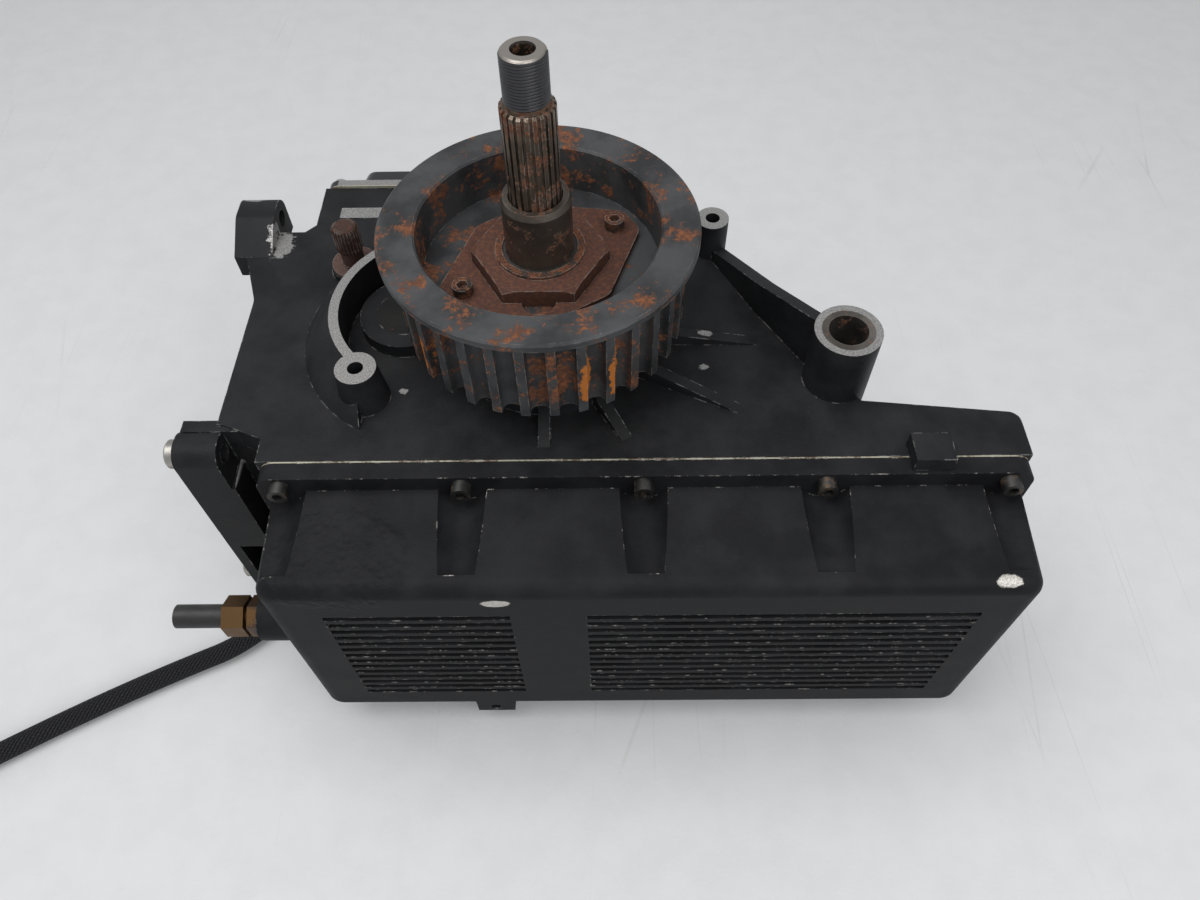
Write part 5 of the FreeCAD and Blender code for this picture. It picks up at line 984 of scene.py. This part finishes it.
# The finishes of the record's slots.
FINISHES: tuple[Finish, ...] = (
    CASE_PAINT,
    PAN_PAINT,
    GLOSS_PAINT,
    PULLEY_STEEL,
    RUSTY_STEEL,
    SHAFT_STEEL,
    WORN_STEEL,
    DARK_SCREW,
    BRIGHT_SCREW,
    BRIGHT_GASKET,
    BEARING_STEEL,
    GEAR_STEEL,
    ALUMINIUM,
    BRASS,
    SENDER_PLASTIC,
    SEAL_RUBBER,
    PAPER_GASKET,
    CABLE_BRAID,
)


# Mesh helpers


def new_piece(
    name: str,
    shape: bmesh.types.BMesh,
    finish: Finish,
    body: Body,
    smooth: bool = True,
) -> bpy.types.Object:
    """Turn a built mesh into a piece that rides on a body.

    Args:
        name: the piece's name.
        shape: the mesh, in metres in the frame; it is freed.
        finish: the piece's finish.
        body: the body that carries it.
        smooth: whether its faces are shaded smooth.

    Returns:
        The new object.
    """
    mesh = bpy.data.meshes.new(name)
    shape.to_mesh(mesh)
    shape.free()
    for polygon in mesh.polygons:
        polygon.use_smooth = smooth
    mesh.materials.append(finish.material())
    piece = bpy.data.objects.new(name, mesh)
    bpy.context.scene.collection.objects.link(piece)
    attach(piece, body.value)
    LOG.info("piece %s on %s", name, body.value)
    return piece


def sweep(shape: bmesh.types.BMesh, rings: Iterable[Sequence[Vector]], closed: bool = True) -> None:
    """Join rings of points into a skin.

    Args:
        shape: the mesh to add to.
        rings: one sequence of points for each step along the skin, all as long.
        closed: whether each ring joins up with itself.
    """
    last: list[bmesh.types.BMVert] = []
    for ring in rings:
        verts = [shape.verts.new(point) for point in ring]
        if last:
            count = len(verts)
            for index in range(count if closed else count - 1):
                after = (index + 1) % count
                shape.faces.new((last[index], last[after], verts[after], verts[index]))
        last = verts


# Sub-assemblies


@dataclass
class PhotoCamera:
    """The photograph's camera."""

    eye: Point = (0.0313, -0.3242, 0.552)
    pitch: float = 54.99
    yaw: float = 0.87
    roll: float = -1.26
    lens: float = 26.97
    sensor: float = 36.0
    near: float = 0.01

    def build(self) -> None:
        """Make the camera and use it for the scene."""
        data = bpy.data.cameras.new("photo_camera")
        data.sensor_width = self.sensor
        data.lens = self.lens
        data.clip_start = self.near
        camera = bpy.data.objects.new("photo_camera", data)
        bpy.context.scene.collection.objects.link(camera)
        yaw = Matrix.Rotation(math.radians(self.yaw), 4, "Z")
        pitch = Matrix.Rotation(math.radians(90.0 - self.pitch), 4, "X")
        roll = Matrix.Rotation(math.radians(self.roll), 4, "Z")
        camera.matrix_world = Matrix.Translation(Vector(self.eye)) @ yaw @ pitch @ roll
        bpy.context.scene.camera = camera
        LOG.info("camera %s", camera.name)


@dataclass(frozen=True)
class SoftLamp:
    """One square lamp: where it hangs, the point that it faces, its side and its watts."""

    name: str
    place: Point
    aim: Point
    size: float
    power: float

    def hang(self) -> None:
        """Make the lamp."""
        data = bpy.data.lights.new(self.name, "AREA")
        data.shape = "SQUARE"
        data.size = self.size
        data.energy = self.power
        lamp = bpy.data.objects.new(self.name, data)
        bpy.context.scene.collection.objects.link(lamp)
        ahead = Vector(self.aim) - Vector(self.place)
        lamp.location = Vector(self.place)
        lamp.rotation_mode = "QUATERNION"
        lamp.rotation_quaternion = ahead.to_track_quat("-Z", "Y")


@dataclass
class Studio:
    """The pale floor, the even light of the room and the soft lamps."""

    floor_half: float = 3.0
    drop: float = -0.0002
    sky: Colour = (0.95, 0.97, 1.0)
    ambient: float = 0.5
    lamps: tuple[SoftLamp, ...] = (
        SoftLamp("lamp_over", (-0.35, -0.1, 1.35), (0.0, 0.0, 0.1), 0.9, 9.0),
        SoftLamp("lamp_front", (0.55, -0.9, 1.1), (0.05, -0.05, 0.15), 0.9, 6.0),
    )

    def build(self) -> None:
        """Make the floor, the world and the lamps."""
        shape = bmesh.new()
        half = self.floor_half
        corners = ((-half, -half), (half, -half), (half, half), (-half, half))
        shape.faces.new([shape.verts.new((x, y, self.drop)) for x, y in corners])
        mesh = bpy.data.meshes.new("pale_floor")
        shape.to_mesh(mesh)
        shape.free()
        mesh.materials.append(FLOOR.material())
        floor = bpy.data.objects.new("pale_floor", mesh)
        bpy.context.scene.collection.objects.link(floor)
        world = bpy.data.worlds.new("studio")
        world.use_nodes = True
        light = world.node_tree.nodes["Background"]
        light.inputs["Color"].default_value = (*self.sky, OPAQUE)
        light.inputs["Strength"].default_value = self.ambient
        bpy.context.scene.world = world
        for lamp in self.lamps:
            lamp.hang()
        bpy.context.scene.view_settings.view_transform = "Standard"
        LOG.info("studio ready")


@dataclass
class ClutchCable:
    """The braided clutch cable: a free run to the left, then a put-away coil."""

    radius: float = 0.00625
    exit: Point = (-0.1387, -0.04, 0.02)
    rest: float = 0.00655
    lift: float = 0.001
    coil_centre: tuple[float, float] = (-0.462, -0.133)
    outer_turn: float = 0.0838
    turn_step: float = 0.013
    first_angle: float = -62.0
    sweep_angle: float = 811.0
    step_angle: float = 30.0
    sides: int = 20
    order: int = 3
    fineness: int = 10
    weight: float = 1.0
    nodes: tuple[str, ...] = ("clutch_cable", "clutch_cable_coil")

    def route(self) -> list[Vector]:
        """Set out the cable: the run from listed points, and the coil's turns by a loop.

        Returns:
            The cable's control points.
        """
        points = [
            Vector(self.exit),
            Vector((-0.166, -0.05, 0.013)),
            Vector((-0.2, -0.091, self.rest + self.lift)),
            Vector((-0.243, -0.11, self.rest)),
            Vector((-0.288, -0.133, self.rest)),
            Vector((-0.339, -0.162, self.rest)),
            Vector((-0.386, -0.1905, self.rest)),
        ]
        steps = round(self.sweep_angle / self.step_angle)
        for number in range(steps + 1):
            turned = number * self.step_angle
            angle = math.radians(self.first_angle - turned)
            radius = self.outer_turn - self.turn_step * turned / 360.0
            x = self.coil_centre[0] + radius * math.cos(angle)
            y = self.coil_centre[1] + radius * math.sin(angle)
            points.append(Vector((x, y, self.rest)))
        return points

    def centreline(self) -> list[Vector]:
        """Smooth the route.

        Returns:
            The points of its smooth line.
        """
        data = bpy.data.curves.new("cable_route", "CURVE")
        data.dimensions = "3D"
        data.resolution_u = self.fineness
        line = data.splines.new("NURBS")
        route = self.route()
        line.points.add(len(route) - 1)
        for point, place in zip(line.points, route):
            point.co = (*place, self.weight)
        line.order_u = self.order
        line.use_endpoint_u = True
        guide = bpy.data.objects.new("cable_route", data)
        mesh = bpy.data.meshes.new_from_object(guide)
        points = [vertex.co.copy() for vertex in mesh.vertices]
        bpy.data.objects.remove(guide)
        bpy.data.meshes.remove(mesh)
        bpy.data.curves.remove(data)
        return points

    def tube(self, path: Sequence[Vector]) -> bmesh.types.BMesh:
        """Return the sleeve's skin along a path, with a map of its length and turn.

        Args:
            path: the centreline's points.

        Returns:
            The mesh.
        """
        shape = bmesh.new()
        layer = shape.loops.layers.uv.new("sleeve")
        side = Vector((0.0, 0.0, 1.0))
        last: list[bmesh.types.BMVert] = []
        run = 0.0
        for index, point in enumerate(path):
            ahead = (path[min(index + 1, len(path) - 1)] - path[max(index - 1, 0)]).normalized()
            side = (side - ahead * side.dot(ahead)).normalized()
            across = ahead.cross(side)
            step = (point - path[index - 1]).length if index else 0.0
            verts = []
            for number in range(self.sides):
                turn = math.tau * number / self.sides
                out = side * math.cos(turn) + across * math.sin(turn)
                verts.append(shape.verts.new(point + out * self.radius))
            for number in range(self.sides if last else 0):
                after = (number + 1) % self.sides
                face = shape.faces.new((last[number], last[after], verts[after], verts[number]))
                done = run + step
                ends = ((run, number), (run, number + 1), (done, number + 1), (done, number))
                for loop, (along, turn) in zip(face.loops, ends):
                    loop[layer].uv = (along, turn / self.sides)
            run += step
            last = verts
        return shape

    def build(self) -> None:
        path = self.centreline()
        sleeve = new_piece("cable_sleeve", self.tube(path), CABLE_BRAID, Body.CASE)
        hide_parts(*self.nodes)


@dataclass
class InputThread:
    """The fine thread on the input shaft's end."""

    low: float = 0.3362
    high: float = 0.3572
    core: float = 0.00952
    crest: float = 0.00992
    pitch: float = 0.0014
    steps: int = 48

    def build(self) -> None:
        """Make the thread's ridge as one skin round the shaft."""
        shape = bmesh.new()
        turns = (self.high - self.low) / self.pitch
        rings = []
        for number in range(round(turns * self.steps) + 1):
            angle = math.tau * number / self.steps
            level = self.low + self.pitch * number / self.steps
            out = Vector((math.cos(angle), math.sin(angle), 0.0))
            up = Vector((0.0, 0.0, level))
            half = Vector((0.0, 0.0, self.pitch / 2))
            root = out * self.core + up
            rings.append([root - half, out * self.crest + up, root + half])
        sweep(shape, rings, closed=False)
        new_piece("input_thread_ridge", shape, THREAD_STEEL, Body.INPUT)


@dataclass
class ShiftSerrations:
    """The serrated end of the shift shaft."""

    centre: tuple[float, float] = (-0.1115, 0.057)
    low: float = 0.207
    high: float = 0.2226
    root: float = 0.0062
    crest: float = 0.0074
    count: int = 24
    bevel: float = 0.001
    foot: float = 0.93
    tip: float = 0.9

    def build(self) -> None:
        """Make the ring of teeth, closed on top."""
        shape = bmesh.new()
        rings = []
        levels = (
            (self.low, self.foot),
            (self.low + self.bevel, 1.0),
            (self.high - self.bevel, 1.0),
            (self.high, self.tip),
        )
        for level, shrink in levels:
            ring = []
            for number in range(self.count * 2):
                angle = math.tau * number / (self.count * 2)
                radius = (self.crest if number % 2 else self.root) * shrink
                x = self.centre[0] + radius * math.cos(angle)
                y = self.centre[1] + radius * math.sin(angle)
                ring.append(Vector((x, y, level)))
            rings.append(ring)
        sweep(shape, rings)
        shape.verts.ensure_lookup_table()
        shape.faces.new(shape.verts[-self.count * 2:])
        new_piece("shift_serrations", shape, STUB_RUST, Body.SHIFTER, smooth=False)


class FramePaint:
    """Gives every node of the frame its own finish, or else that of its slot in the record."""

    def build(self) -> None:
        """Put each node's finish in its material slot."""
        by_name = {finish.name: finish for finish in FINISHES}
        parts = frame["record"]["subparts"]
        for part in parts:
            node = frame["nodes"][part["node"]]
            finish = NODE_FINISHES.get(part["node"], by_name[part["material_slot"]])
            node.data.materials.clear()
            node.data.materials.append(finish.material())
        LOG.info("dressed %d nodes of the frame", len(parts))


def main() -> None:
    """Build every sub-assembly in turn."""
    logging.basicConfig(level=logging.INFO, format="%(name)s: %(message)s")
    PhotoCamera().build()
    ClutchCable().build()
    Studio().build()
    FramePaint().build()
    InputThread().build()
    ShiftSerrations().build()


if __name__ == "__main__":
    main()
